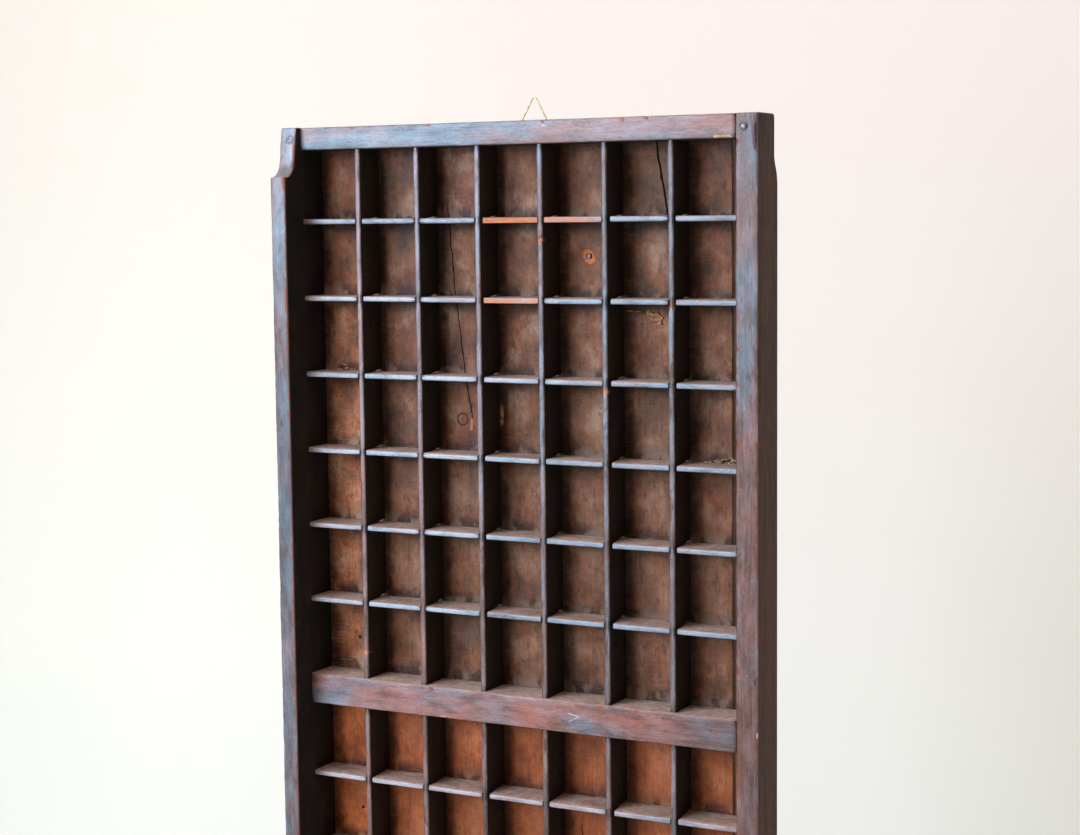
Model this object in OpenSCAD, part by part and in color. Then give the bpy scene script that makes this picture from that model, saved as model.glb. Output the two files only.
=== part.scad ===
// Letterpress type case: a shallow wooden tray of 98 equal boxes in two halves,
// standing on its end as it hangs on a wall by a small wire loop.
// X runs across the case, Y into the wall and Z up the case.
// The boxes open towards -Y.
// The origin is the point where the wall hook carries the wire loop.

/* [Boxes] */
// Clear width of one box, across the case
box_w = 44.4; // [30:0.2:60]
// Clear length of one box, along the case
box_l = 51.5; // [35:0.5:70]
// How much lower the row under the top rail is than the others; the row over the bar gets it
top_row_cut = 2; // [0:0.5:6]
// Depth of a box, from the floor to the front edges of the dividers
box_deep = 26; // [20:0.5:40]

/* [Dividers] */
// Thickness of a divider that runs along the case
long_t = 4.6; // [3:0.1:7]
// Thickness of a divider that runs across the case
cross_t = 4; // [3:0.1:7]
// Radius on the two front corners of a divider
divider_round = 1.3; // [0.4:0.1:1.4]
// Depth to which the divider ends are let into the frame
housing = 3; // [1.5:0.5:4]
// Clearance on each side of a divider in its slots and housings
slot_gap = 0.05; // [0.02:0.01:0.2]

/* [Frame] */
// Thickness of the tall left side
tall_t = 13.5; // [12:0.5:24]
// Thickness of the plain right side
plain_t = 16.5; // [13:0.5:24]
// Width of the top and bottom rails as seen from the front
rail_w = 16.5; // [15:0.5:26]
// Width of the bar between the two halves
bar_w = 22.5; // [16:0.5:36]
// How far the rails, the bar and the plain side stand in front of the dividers
lip = 2; // [0.5:0.5:6]
// Radius on the front edges of the frame
frame_round = 1.4; // [0.4:0.1:2]

/* [Shaped ends of the tall side] */
// How far the tall side stands in front of the rest of the frame
tall_rise = 20; // [12:0.5:40]
// How far its lowered ends stand in front of the frame, at the very end
toe_rise = 4.5; // [1:0.5:6]
// Further rise of the lowered end before the cove begins
toe_slope = 3.5; // [0:0.5:5]
// Length of the lowered end
toe_len = 23; // [20:1:60]
// Length of the cove that climbs to the full height
cove_len = 13; // [6:1:40]

/* [Worn ends of the plain side] */
// Depth worn off the outer back edge near each end
wear_d = 5.5; // [1:0.5:8]
// Length of the worn stretch at each end
wear_len = 27; // [15:1:60]
// Length of the slope from the worn stretch to the full edge
wear_ramp = 16; // [6:1:40]
// Wood left between the floor rebate and the worn stretch
wear_wall = 1.5; // [1:0.25:3]
// Radius on the outer back corner of each end
wear_round = 3; // [1:0.5:5]

/* [Joints of the frame] */
// Thickness of the tenons, seen from the front
tenon_t = 8; // [5:0.5:10]
// Wood left between a rail's inner face and its tenon
tenon_edge = 3.5; // [3.5:0.25:5]
// Wood left outside the end of a tenon
tenon_stop = 4; // [3:0.5:6]
// Wood left behind a tenon
tenon_back = 10; // [8:0.5:12]
// Wood left in front of a tenon
tenon_front = 8; // [4:0.5:10]
// Clearance around a tenon
tenon_gap = 0.1; // [0.05:0.05:0.3]

/* [Floor] */
// Thickness of the floor boards
floor_t = 6; // [4:0.5:8]
// Width of the rebate that the floor boards lie in
rebate = 7; // [5:0.5:8]
// Width of the narrow floor strip inside the frame
strip_w = 11.6; // [8:0.2:24]
// Shrinkage gap between the wide board and the narrow strip
shrink_gap = 1.8; // [0.5:0.1:4]
// Clearance at the edges of the floor boards
floor_gap = 0.3; // [0.1:0.1:1]

/* [Nails] */
// Shank diameter of the nails in the corners
corner_nail_d = 2.4; // [1.5:0.1:3.5]
// Head diameter of the nails in the corners
corner_head_d = 4.5; // [4:0.1:7]
// Length of the nails in the corners, in the plain side
corner_nail_l = 25; // [24:1:26]
// Shank diameter of the floor nails
floor_nail_d = 1.5; // [1:0.1:2]
// Head diameter of the floor nails
floor_head_d = 3; // [2.2:0.1:4]
// Length of the floor nails
floor_nail_l = 18; // [12:1:22]
// Diameter of the brads at the crossings
brad_d = 1.1; // [0.8:0.1:1.6]
// Length of the brads at the crossings
brad_l = 20; // [16:0.5:22]
// Head thickness of every nail
head_t = 0.8; // [0.5:0.1:1.2]
// Clearance around a nail in the wood
nail_gap = 0.04; // [0.02:0.01:0.1]
// How far the tack in the floor sits above the middle of its box
tack_up = 2.5; // [-15:0.5:15]

/* [Hanger] */
// Diameter of the wire of the loop
wire_d = 1.2; // [1:0.1:1.6]
// Outer width of the wire loop
loop_w = 20; // [16:0.5:30]
// Height of the loop, from the middle of its base bar to the middle of its apex
loop_h = 18.6; // [14:0.1:30]
// Height of the upright legs of the loop
leg_h = 3.4; // [3:0.1:6]
// Bend radius at the two base corners, to the middle of the wire
base_bend = 1.3; // [1:0.1:1.8]
// Bend radius where the legs turn inwards
shoulder_bend = 2.2; // [1:0.1:3]
// Bend radius at the apex
apex_bend = 2; // [1.2:0.1:3]
// How much thicker the wire is where it is bent
bend_swell = 0.02; // [0.02:0.01:0.1]
// Distance of the loop to the right of the middle of the boxes
hanger_off = 4; // [-60:1:60]
// Distance of the base bar below the top of the case
bar_drop = 1.5; // [1:0.1:3]
// Thickness of the hanger plate
plate_t = 0.8; // [0.5:0.1:1.5]
// Height of the hanger plate
plate_h = 9; // [7:0.5:10]
// Gap between the top of the plate and the base bar of the loop
plate_gap = 0.3; // [0.2:0.1:1]
// Distance between the two nails in the hanger plate
plate_nails = 28; // [26:1:60]
// Width of the rolled knuckle
knuckle_w = 8; // [4:0.5:10]
// Radial clearance between the wire and the knuckle
knuckle_gap = 0.05; // [0.02:0.01:0.1]
// Shank diameter of the nails in the plate
plate_nail_d = 1.6; // [1:0.1:2]
// Head diameter of the nails in the plate
plate_head_d = 3.8; // [3:0.1:4.5]
// Length of the nails in the plate
plate_nail_l = 10; // [8:1:16]

/* [Hidden] */
// Boxes across the case and along each half
cols = 7;
rows = 7;
half_names = ["lower", "upper"];
// Smoothness of round parts and of profile curves
$fn = 32;
arc_steps = 8;
// Length of a nail's point and width of its tip, as shares of the shank's diameter
point_share = 1.5;
tip_share = 0.125;
// Overshoot of cuts
eps = 1;

// Main depths, measured from the back of the case
divider_d = floor_t + box_deep;
frame_d = divider_d + lip;
tall_d = frame_d + tall_rise;
half_lap = floor_t + box_deep / 2;

// Main widths and lengths
inner_w = cols * box_w + (cols - 1) * long_t;
case_w = inner_w + tall_t + plain_t;
half_l = rows * box_l + (rows - 1) * cross_t;
case_l = 2 * half_l + bar_w + 2 * rail_w;
x_left = -case_w / 2 + tall_t;
x_right = x_left + inner_w;
bar_z = rail_w + half_l + bar_w / 2;
board_edge = x_right - strip_w - shrink_gap;

// Tenons
tenon_left = tall_t - tenon_stop;
tenon_right = plain_t - tenon_stop;
rail_tenon_z = rail_w - tenon_edge - tenon_t / 2;
tenon_places = [rail_tenon_z, bar_z, case_l - rail_tenon_z];
corner_places = [rail_tenon_z, case_l - rail_tenon_z];
nail_left_x = x_left - tenon_left / 2;
nail_right_x = x_right + tenon_right / 2;
toe_at_nail = frame_d + toe_rise + toe_slope * rail_tenon_z / toe_len;

// Columns and rows whose middles carry a floor nail
nailed = [1, 4, 7];
// The tack shows in this column and row of the upper half, counted from the top left
tack_col = 5;
tack_row = 2;
// Cross dividers with a row of brads, and the long dividers that they are driven through
brad_rows = [[3, [2, 4, 6]], [4, [1, 3, 5]]];

// Hanger
loop_half = (loop_w - wire_d) / 2;
// How far the straight runs of the wire reach into its bends
bend_lap = 0.1;
bore_d = wire_d + 2 * knuckle_gap;
knuckle_d = bore_d + 2 * plate_t;
hinge_y = knuckle_d / 2;
hinge_x = (x_left + x_right) / 2 + hanger_off;
hinge_z = case_l - bar_drop;
plate_top = hinge_z - wire_d / 2 - plate_gap;
plate_mid = plate_top - plate_h / 2;
slant = atan(loop_half / (loop_h - leg_h));
loop_tip = loop_h + apex_bend * (1 / sin(slant) - 1);
hang_z = hinge_z + loop_h - wire_d / 2;

wood = "#4b3a35";
divider_wood = "#46362f";
floor_dark = "#5c4a3b";
floor_rust = "#7b4c2e";
brass = "#b3913f";
steel = "#85868a";

function divider_names(kind, count) =
    [for (h = half_names, i = [1 : count]) str(h, "_", kind, "_divider_", i)];

// Places

// Middle of a long divider, counted from the left
function long_x(i) = x_left + i * box_w + (i - 0.5) * long_t;

// Lower inner edge of a half: 0 is the lower half and 1 the upper one
function half_z(h) = rail_w + h * (half_l + bar_w);

// Middle of a cross divider, counted from the top of its half
function cross_z(h, j) =
    half_z(h) + half_l + h * top_row_cut - j * box_l - (j - 0.5) * cross_t;

// Middle of a column of boxes, counted from the left
function col_x(c) = x_left + (c - 0.5) * box_w + (c - 1) * long_t;

// Upper end, lower end and middle of a row of boxes, counted from the top of its half
function row_top(h, r) = r == 1 ? half_z(h) + half_l : cross_z(h, r - 1) - cross_t / 2;
function row_low(h, r) = r == rows ? half_z(h) : cross_z(h, r) + cross_t / 2;
function row_z(h, r) = (row_top(h, r) + row_low(h, r)) / 2;

strip_x = x_right - strip_w / 2;

// Floor nails along the sides, the rails and the bar, as x and z
side_nails = [for (h = [0, 1], r = nailed, x = [x_left - rebate / 2, x_right + rebate / 2])
    [x, row_z(h, r)]];
end_nails = [for (
        x = concat([for (c = nailed) col_x(c)], [strip_x]),
        z = [rail_w - rebate / 2, bar_z - bar_w / 4, bar_z + bar_w / 4,
            case_l - rail_w + rebate / 2])
    [x, z]];
floor_nail_places = concat(side_nails, end_nails);

tack_place = [col_x(tack_col), row_z(1, tack_row) + tack_up];

// Helpers

// Points of a quarter round from angle a to angle b about a centre
function arc(centre, r, a, b) =
    [for (k = [0 : arc_steps]) let (t = a + (b - a) * k / arc_steps)
        centre + r * [cos(t), sin(t)]];

// Section of a piece of thickness t from depth d0 to depth d1, rounded in front
function front_round(t, d0, d1, r) = concat(
    [[-t / 2, d0], [t / 2, d0]],
    arc([t / 2 - r, d1 - r], r, 0, 90),
    arc([-t / 2 + r, d1 - r], r, 90, 180)
);

// A section given as [across, depth] and extruded up the case, from z0 to z1
module up_bar(section, z0, z1) {
    translate([0, 0, z0])
        linear_extrude(z1 - z0)
            polygon([for (p = section) [p[0], -p[1]]]);
}

// A section given as [up, depth] and extruded across the case, from x0 to x1
module across_bar(section, x0, x1) {
    translate([x0, 0, 0])
        rotate([90, 0, 90])
            linear_extrude(x1 - x0)
                polygon([for (p = section) [-p[1], p[0]]]);
}

// A plain block between two corners given as x, depth and z
module block(a, b) {
    translate([a[0], -b[1], a[2]])
        cube([b[0] - a[0], b[1] - a[1], b[2] - a[2]]);
}

// A round along the depth of the case, from depth d0 to depth d1
module round_in(x, z, d, d0, d1) {
    translate([x, -d0, z])
        rotate([90, 0, 0])
            cylinder(d = d, h = d1 - d0);
}

// A nail whose head lies flush at the origin and whose point is at -Z
module nail(shank_d, length, head_d, dome = 0) {
    point_l = shank_d * point_share;
    translate([0, 0, -head_t])
        cylinder(d = head_d, h = head_t);
    translate([0, 0, -length + point_l])
        cylinder(d = shank_d, h = length - point_l - head_t / 2);
    translate([0, 0, -length])
        cylinder(d1 = shank_d * tip_share, d2 = shank_d, h = point_l);
    if (dome > 0)
        rotate_extrude()
            polygon(concat([[0, 0]], [for (k = [0 : arc_steps])
                [head_d / 2 * cos(90 * k / arc_steps), dome * sin(90 * k / arc_steps)]]));
}

// The hole that such a nail needs, with a seat for its head
module nail_hole(shank_d, length, head_d) {
    translate([0, 0, -length])
        cylinder(d = shank_d + 2 * nail_gap, h = length);
    translate([0, 0, -head_t])
        cylinder(d = head_d + 2 * nail_gap, h = head_t + eps);
}

// Turns a nail so that it is driven from the back, or from the front
module from_back(x, z) {
    translate([x, 0, z]) rotate([-90, 0, 0]) children();
}

module from_front(x, depth, z) {
    translate([x, -depth, z]) rotate([90, 0, 0]) children();
}

// Cuts shared by the frame

// Housings of the cross dividers in the inner face of a side
module cross_housings(x0, x1) {
    for (h = [0, 1], j = [1 : rows - 1])
        block([x0, floor_t - eps, cross_z(h, j) - cross_t / 2 - slot_gap],
            [x1, divider_d + slot_gap, cross_z(h, j) + cross_t / 2 + slot_gap]);
}

// Housings of the long dividers, between two heights
module long_housings(z0, z1) {
    for (i = [1 : cols - 1])
        block([long_x(i) - long_t / 2 - slot_gap, floor_t - eps, z0],
            [long_x(i) + long_t / 2 + slot_gap, divider_d + slot_gap, z1]);
}

// Mortises for the rails and the bar in a side
module mortises(x0, x1) {
    for (z = tenon_places)
        block([x0, tenon_back - tenon_gap, z - tenon_t / 2 - tenon_gap],
            [x1, frame_d - tenon_front + tenon_gap, z + tenon_t / 2 + tenon_gap]);
}

// The rebate that the floor boards lie in, all round the inside of the frame
module floor_rebate() {
    block([x_left - rebate, -eps, rail_w - rebate],
        [x_right + rebate, floor_t, case_l - rail_w + rebate]);
}

// All holes of the floor nails
module floor_nail_holes() {
    for (p = floor_nail_places)
        from_back(p[0], p[1]) nail_hole(floor_nail_d, floor_nail_l, floor_head_d);
}

// Holes of the corner nails
module corner_nail_holes() {
    for (z = corner_places) {
        from_front(nail_left_x, toe_at_nail, z)
            nail_hole(corner_nail_d, corner_nail_l + toe_at_nail - frame_d, corner_head_d);
        from_front(nail_right_x, frame_d, z)
            nail_hole(corner_nail_d, corner_nail_l, corner_head_d);
    }
}

// Frame

// Front line of the tall side as [z, depth], from one end to the middle
function toe_line() = concat(
    [[0, frame_d + toe_rise], [toe_len, frame_d + toe_rise + toe_slope]],
    [for (k = [1 : arc_steps]) let (t = 90 * k / arc_steps)
        [toe_len + cove_len * sin(t),
            frame_d + toe_rise + toe_slope + (tall_rise - toe_rise - toe_slope) * (1 - cos(t))]]
);

function reversed(list) = [for (k = [len(list) - 1 : -1 : 0]) list[k]];

module tall_side() {
    outline = concat(
        [[0, 0]],
        toe_line(),
        [for (p = reversed(toe_line())) [case_l - p[0], p[1]]],
        [[case_l, 0]]
    );
    color(wood)
    difference() {
        intersection() {
            across_bar(outline, x_left - tall_t, x_left);
            translate([x_left - tall_t / 2, 0, 0])
                up_bar(front_round(tall_t, 0, tall_d, frame_round), -eps, case_l + eps);
        }
        floor_rebate();
        cross_housings(x_left - housing, x_left + eps);
        mortises(x_left - tenon_left - tenon_gap, x_left + eps);
        corner_nail_holes();
        floor_nail_holes();
    }
}

// Wood worn off the outer back edge at one end, as [z, depth]
function wear_line() = concat(
    [[-eps, -eps], [-eps, wear_d + wear_round]],
    [for (p = arc([wear_round, wear_d + wear_round], wear_round, 180, 270)) p],
    [for (k = [0 : arc_steps]) let (s = k / arc_steps)
        [wear_len + wear_ramp * s, wear_d * (1 + cos(180 * s)) / 2]],
    [[wear_len + wear_ramp, -eps]]
);

module plain_side() {
    color(wood)
    difference() {
        translate([x_right + plain_t / 2, 0, 0])
            up_bar(front_round(plain_t, 0, frame_d, frame_round), 0, case_l);
        floor_rebate();
        cross_housings(x_right - eps, x_right + housing);
        mortises(x_right - eps, x_right + tenon_right + tenon_gap);
        corner_nail_holes();
        floor_nail_holes();
        across_bar(wear_line(), x_right + rebate + wear_wall, x_right + plain_t + eps);
        across_bar([for (p = wear_line()) [case_l - p[0], p[1]]],
            x_right + rebate + wear_wall, x_right + plain_t + eps);
    }
}

// A rail or bar between the sides, with a tenon at each end
module cross_member(z0, z1, back, tenon_z) {
    translate([0, 0, (z0 + z1) / 2])
        across_bar(front_round(z1 - z0, back, frame_d, frame_round), x_left, x_right);
    block([x_left - tenon_left, tenon_back, tenon_z - tenon_t / 2],
        [x_right + tenon_right, frame_d - tenon_front, tenon_z + tenon_t / 2]);
}

module top_rail() {
    color(wood)
    difference() {
        cross_member(case_l - rail_w, case_l, 0, case_l - rail_tenon_z);
        floor_rebate();
        long_housings(case_l - rail_w - eps, case_l - rail_w + housing);
        corner_nail_holes();
        floor_nail_holes();
        hanger_nail_holes();
    }
}

module bottom_rail() {
    color(wood)
    difference() {
        cross_member(0, rail_w, 0, rail_tenon_z);
        floor_rebate();
        long_housings(rail_w - housing, rail_w + eps);
        corner_nail_holes();
        floor_nail_holes();
    }
}

module mid_bar() {
    color(wood)
    difference() {
        cross_member(bar_z - bar_w / 2, bar_z + bar_w / 2, floor_t, bar_z);
        long_housings(bar_z - bar_w / 2 - eps, bar_z - bar_w / 2 + housing);
        long_housings(bar_z + bar_w / 2 - housing, bar_z + bar_w / 2 + eps);
        floor_nail_holes();
    }
}

// Dividers

// A long divider is slotted from behind, so its front runs on through each crossing
module long_divider(h, i) {
    color(divider_wood)
    difference() {
        translate([long_x(i), 0, 0])
            up_bar(front_round(long_t, floor_t, divider_d, divider_round),
                half_z(h) - housing + slot_gap, half_z(h) + half_l + housing - slot_gap);
        for (j = [1 : rows - 1])
            block([long_x(i) - long_t, floor_t - eps, cross_z(h, j) - cross_t / 2 - slot_gap],
                [long_x(i) + long_t, half_lap + slot_gap, cross_z(h, j) + cross_t / 2 + slot_gap]);
        brad_holes(h);
    }
}

// A cross divider is slotted from the front
module cross_divider(h, j) {
    color(divider_wood)
    difference() {
        translate([0, 0, cross_z(h, j)])
            across_bar(front_round(cross_t, floor_t, divider_d, divider_round),
                x_left - housing + slot_gap, x_right + housing - slot_gap);
        for (i = [1 : cols - 1])
            block([long_x(i) - long_t / 2 - slot_gap, half_lap - slot_gap, cross_z(h, j) - cross_t],
                [long_x(i) + long_t / 2 + slot_gap, divider_d + eps, cross_z(h, j) + cross_t]);
        brad_holes(h);
    }
}

module brad_holes(h) {
    for (row = brad_rows, i = row[1])
        from_front(long_x(i), divider_d, cross_z(h, row[0]))
            nail_hole(brad_d, brad_l, brad_d);
}

// Floor

module floor_panel(x0, x1, h) {
    z0 = h == 0 ? rail_w - rebate + floor_gap : bar_z + floor_gap / 2;
    z1 = h == 0 ? bar_z - floor_gap / 2 : case_l - rail_w + rebate - floor_gap;
    difference() {
        block([x0, 0, z0], [x1, floor_t, z1]);
        floor_nail_holes();
        if (h == 1)
            from_front(tack_place[0], floor_t, tack_place[1])
                nail_hole(floor_nail_d, floor_t, floor_head_d);
    }
}

module floor_board(h) {
    color(h == 0 ? floor_rust : floor_dark)
        floor_panel(x_left - rebate + floor_gap, board_edge, h);
}

module floor_strip(h) {
    color(h == 0 ? floor_rust : floor_dark)
        floor_panel(x_right - strip_w, x_right + rebate - floor_gap, h);
}

// Nails

module corner_nails() {
    color(steel)
    for (z = corner_places) {
        from_front(nail_left_x, toe_at_nail, z)
            nail(corner_nail_d, corner_nail_l + toe_at_nail - frame_d, corner_head_d);
        from_front(nail_right_x, frame_d, z)
            nail(corner_nail_d, corner_nail_l, corner_head_d, dome = head_t);
    }
}

module crossing_brads(h) {
    color(steel)
    for (row = brad_rows, i = row[1])
        from_front(long_x(i), divider_d, cross_z(h, row[0]))
            nail(brad_d, brad_l, brad_d);
}

module floor_nails() {
    color(steel)
    for (p = floor_nail_places)
        from_back(p[0], p[1]) nail(floor_nail_d, floor_nail_l, floor_head_d);
}

module floor_tack() {
    color(steel)
    from_front(tack_place[0], floor_t, tack_place[1])
        nail(floor_nail_d, floor_t, floor_head_d);
}

// Hanger

module at_plate_nails() {
    for (s = [-1, 1])
        translate([hinge_x + s * plate_nails / 2, plate_t + head_t, plate_mid])
            rotate([-90, 0, 0]) children();
}

module hanger_nail_holes() {
    at_plate_nails()
        translate([0, 0, -plate_nail_l])
            cylinder(d = plate_nail_d + 2 * nail_gap, h = plate_nail_l + eps);
}

module hanger_plate() {
    color(brass)
    difference() {
        union() {
            block([hinge_x - plate_nails / 2, -plate_t, plate_top - plate_h],
                [hinge_x + plate_nails / 2, 0, plate_top]);
            for (s = [-1, 1])
                round_in(hinge_x + s * plate_nails / 2, plate_mid, plate_h, -plate_t, 0);
            block([hinge_x - knuckle_w / 2, -plate_t, plate_top - eps],
                [hinge_x + knuckle_w / 2, 0, hinge_z]);
            translate([hinge_x - knuckle_w / 2, hinge_y, hinge_z])
                rotate([0, 90, 0])
                    cylinder(d = knuckle_d, h = knuckle_w);
        }
        translate([hinge_x - knuckle_w / 2 - eps, hinge_y, hinge_z])
            rotate([0, 90, 0])
                cylinder(d = bore_d, h = knuckle_w + 2 * eps);
        hanger_nail_holes();
    }
}

module hanger_nails() {
    color(brass)
    at_plate_nails() nail(plate_nail_d, plate_nail_l, plate_head_d);
}

// A closed wire through corner points, each rounded to its own bend radius.
// The points turn to the left, in a plane with X across and Y up.
module bent_wire(points, bends) {
    count = len(points);
    function unit(v) = v / norm(v);
    function way(k) = unit(points[(k + 1) % count] - points[k % count]);
    function turn(k) = acos(way(k + count - 1) * way(k));
    function cut(k) = bends[k % count] * tan(turn(k % count) / 2);
    function heading(v) = atan2(v[1], v[0]);
    for (k = [0 : count - 1]) {
        into = way(k + count - 1);
        start = points[k] - into * cut(k);
        centre = start + bends[k] * [-into[1], into[0]];
        translate([centre[0], centre[1], 0])
            rotate([0, 0, heading(into) - 90])
                rotate_extrude(angle = turn(k))
                    translate([bends[k], 0])
                        circle(d = wire_d + bend_swell);
        out = points[k] + way(k) * (cut(k) - bend_lap);
        run = norm(points[(k + 1) % count] - points[k]) - cut(k) - cut(k + 1);
        translate([out[0], out[1], 0])
            rotate([0, 0, heading(way(k))])
                rotate([0, 90, 0])
                    cylinder(d = wire_d, h = run + 2 * bend_lap);
    }
}

module hanger_loop() {
    corners = [
        [-loop_half, 0],
        [loop_half, 0],
        [loop_half, leg_h],
        [0, loop_tip],
        [-loop_half, leg_h]
    ];
    bends = [base_bend, base_bend, shoulder_bend, apex_bend, shoulder_bend];
    color(brass)
    translate([hinge_x, hinge_y, hinge_z])
        rotate([90, 0, 0])
            bent_wire(corners, bends);
}

// Assembly

// Moves the case so that the hanging point is the origin
module hung() {
    translate([-hinge_x, -hinge_y, -hang_z]) children();
}

hung() tall_side();
hung() plain_side();
hung() top_rail();
hung() bottom_rail();
hung() mid_bar();
hung() floor_board(1);  // upper_floor_board
hung() floor_strip(1);  // upper_floor_strip
hung() floor_board(0);  // lower_floor_board
hung() floor_strip(0);  // lower_floor_strip

for (h = [0, 1], i = [1 : cols - 1])
    hung() long_divider(h, i);

for (h = [0, 1], j = [1 : rows - 1])
    hung() cross_divider(h, j);

hung() corner_nails();
hung() crossing_brads(1);  // upper_crossing_brads
hung() crossing_brads(0);  // lower_crossing_brads
hung() floor_nails();
hung() floor_tack();
hung() hanger_plate();
hung() hanger_nails();
hung() hanger_loop();
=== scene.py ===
import math
import random

import bmesh
import bpy
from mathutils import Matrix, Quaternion, Vector, noise


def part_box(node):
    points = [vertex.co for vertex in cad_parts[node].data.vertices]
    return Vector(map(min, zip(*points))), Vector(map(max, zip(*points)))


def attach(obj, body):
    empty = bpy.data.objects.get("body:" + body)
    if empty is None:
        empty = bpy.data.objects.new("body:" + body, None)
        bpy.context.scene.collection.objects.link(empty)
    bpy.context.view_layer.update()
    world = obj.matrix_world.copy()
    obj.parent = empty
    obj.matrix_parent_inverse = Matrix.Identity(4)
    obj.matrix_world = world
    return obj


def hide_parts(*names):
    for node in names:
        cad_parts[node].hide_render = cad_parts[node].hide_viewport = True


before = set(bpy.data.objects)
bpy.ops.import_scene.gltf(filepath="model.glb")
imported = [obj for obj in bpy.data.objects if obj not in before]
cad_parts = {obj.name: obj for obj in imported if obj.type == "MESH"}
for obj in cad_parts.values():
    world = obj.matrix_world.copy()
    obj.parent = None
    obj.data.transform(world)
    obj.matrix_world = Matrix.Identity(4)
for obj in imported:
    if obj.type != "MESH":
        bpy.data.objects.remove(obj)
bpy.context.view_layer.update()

# Lengths are in mm in the case's own measures: x from the middle of the case, depth from its back,
# z from its lower end. place() turns them into the row frame, in metres.
MM = 0.001
HANG_X, HANG_Y, HANG_Z = 2.5, 1.45, 841.0
COLUMNS = ROWS = 7
HALVES = ("upper", "lower")
CASE = "case"

chance = random.Random(20)


def place(x, depth, z):
    return Vector((x - HANG_X, -depth - HANG_Y, z - HANG_Z)) * MM


def room(node):
    """A CAD node's box: x from, x to, depth from, depth to, z from, z to."""
    low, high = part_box(node)
    return (
        low.x / MM + HANG_X, high.x / MM + HANG_X,
        -high.y / MM - HANG_Y, -low.y / MM - HANG_Y,
        low.z / MM + HANG_Z, high.z / MM + HANG_Z,
    )


def middle(node, axis):
    box = room(node)
    return (box[2 * axis] + box[2 * axis + 1]) / 2


def add_object(name, data):
    made = bpy.data.objects.new(name, data)
    bpy.context.scene.collection.objects.link(made)
    return made


def look_along(obj, way, roll=0.0):
    """Turns a camera or a lamp to look along a way."""
    obj.rotation_mode = "QUATERNION"
    obj.rotation_quaternion = way.to_track_quat("-Z", "Y") @ Quaternion((0, 0, 1), roll)


def add_mesh(name, bm, material):
    mesh = bpy.data.meshes.new(name)
    bm.to_mesh(mesh)
    bm.free()
    mesh.shade_smooth()
    mesh.materials.append(material)
    return add_object(name, mesh)


def join(bm, rows, closed):
    """Faces between neighbouring rows of points, which are rings where closed."""
    for low, high in zip(rows, rows[1:]):
        count = len(low)
        for k in range(count if closed else count - 1):
            n = (k + 1) % count
            bm.faces.new((low[k], low[n], high[n], high[k]))


# Measures taken from the frame
TALL, PLAIN, BAR, NAILS = (room(node) for node in ("tall_side", "plain_side", "mid_bar", "corner_nails"))
FIRST_LONG, FIRST_CROSS = room("upper_long_divider_1"), room("upper_cross_divider_1")
X_LEFT, X_RIGHT = TALL[1], PLAIN[0]
CASE_L = TALL[5]
FLOOR_T = room("upper_floor_board")[3]
DIVIDER_D = FIRST_LONG[3]
FRAME_D = PLAIN[3]
LONG_T = FIRST_LONG[1] - FIRST_LONG[0]
CROSS_T = FIRST_CROSS[5] - FIRST_CROSS[4]
RAIL_W = room("bottom_rail")[5]
LONG_X = [middle(f"upper_long_divider_{i}", 0) for i in range(1, COLUMNS)]
CROSS_Z = {h: [middle(f"{h}_cross_divider_{j}", 2) for j in range(1, ROWS)] for h in HALVES}
HALF_Z = {"upper": (BAR[5], CASE_L - RAIL_W), "lower": (RAIL_W, BAR[4])}

# Measures as in the part's source
REBATE_W = 7.0
HEAD_R = 2.25
TOE_RISE, TOE_SLOPE, TOE_LEN, COVE_LEN = 4.5, 3.5, 23.0, 13.0
WEAR_D, WEAR_LEN, WEAR_RAMP, WEAR_WALL, WEAR_ROUND = 5.5, 27.0, 16.0, 1.5, 3.0
# Depth where the two kinds of divider meet in their halved crossings, and their play there
LAP = FLOOR_T + (DIVIDER_D - FLOOR_T) / 2
SLOT = 0.05

# Places along a plank lie this far apart: in the frame, in a divider, in a floor board, at a step
FRAME_GAP, DIVIDER_GAP, FLOOR_GAP, STEP = 2.6, 2.4, 4.5, 0.02
# How far wood stays inside the CAD's face: where nail heads show, on a divider or board, at an inner face
SKIN, TRIM, FIT = 0.12, 0.05, 0.02
# How far a divider's end reaches into the frame, and how round a side's end is
REACH, END_ROUND = 0.25, 1.1
# Flat parts in a rubbed arris, and the angle past which a plank's edges stay sharp
ARC, PLANK_SHARP = 4, 38


# Camera


def make_camera():
    data = bpy.data.cameras.new("photo_camera")
    data.sensor_width = 36.0
    data.lens = 68.67
    data.clip_start = 0.05
    camera = add_object("photo_camera", data)
    turn, tilt, roll = math.radians(27.705), math.radians(-5.61), math.radians(-0.61)
    ahead = Vector((-math.sin(turn) * math.cos(tilt), math.cos(turn) * math.cos(tilt), math.sin(tilt)))
    camera.location = (0.67738, -1.28629, -0.08131)
    look_along(camera, ahead, roll)
    bpy.context.scene.camera = camera


# Shader helpers


def srgb(r, g, b):
    """A tone given as screen values from 0 to 255."""
    def linear(v):
        v /= 255
        return v / 12.92 if v <= 0.04045 else ((v + 0.055) / 1.055) ** 2.4
    return (linear(r), linear(g), linear(b), 1.0)


ORIGIN = (0.0, 0.0, 0.0)


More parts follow.
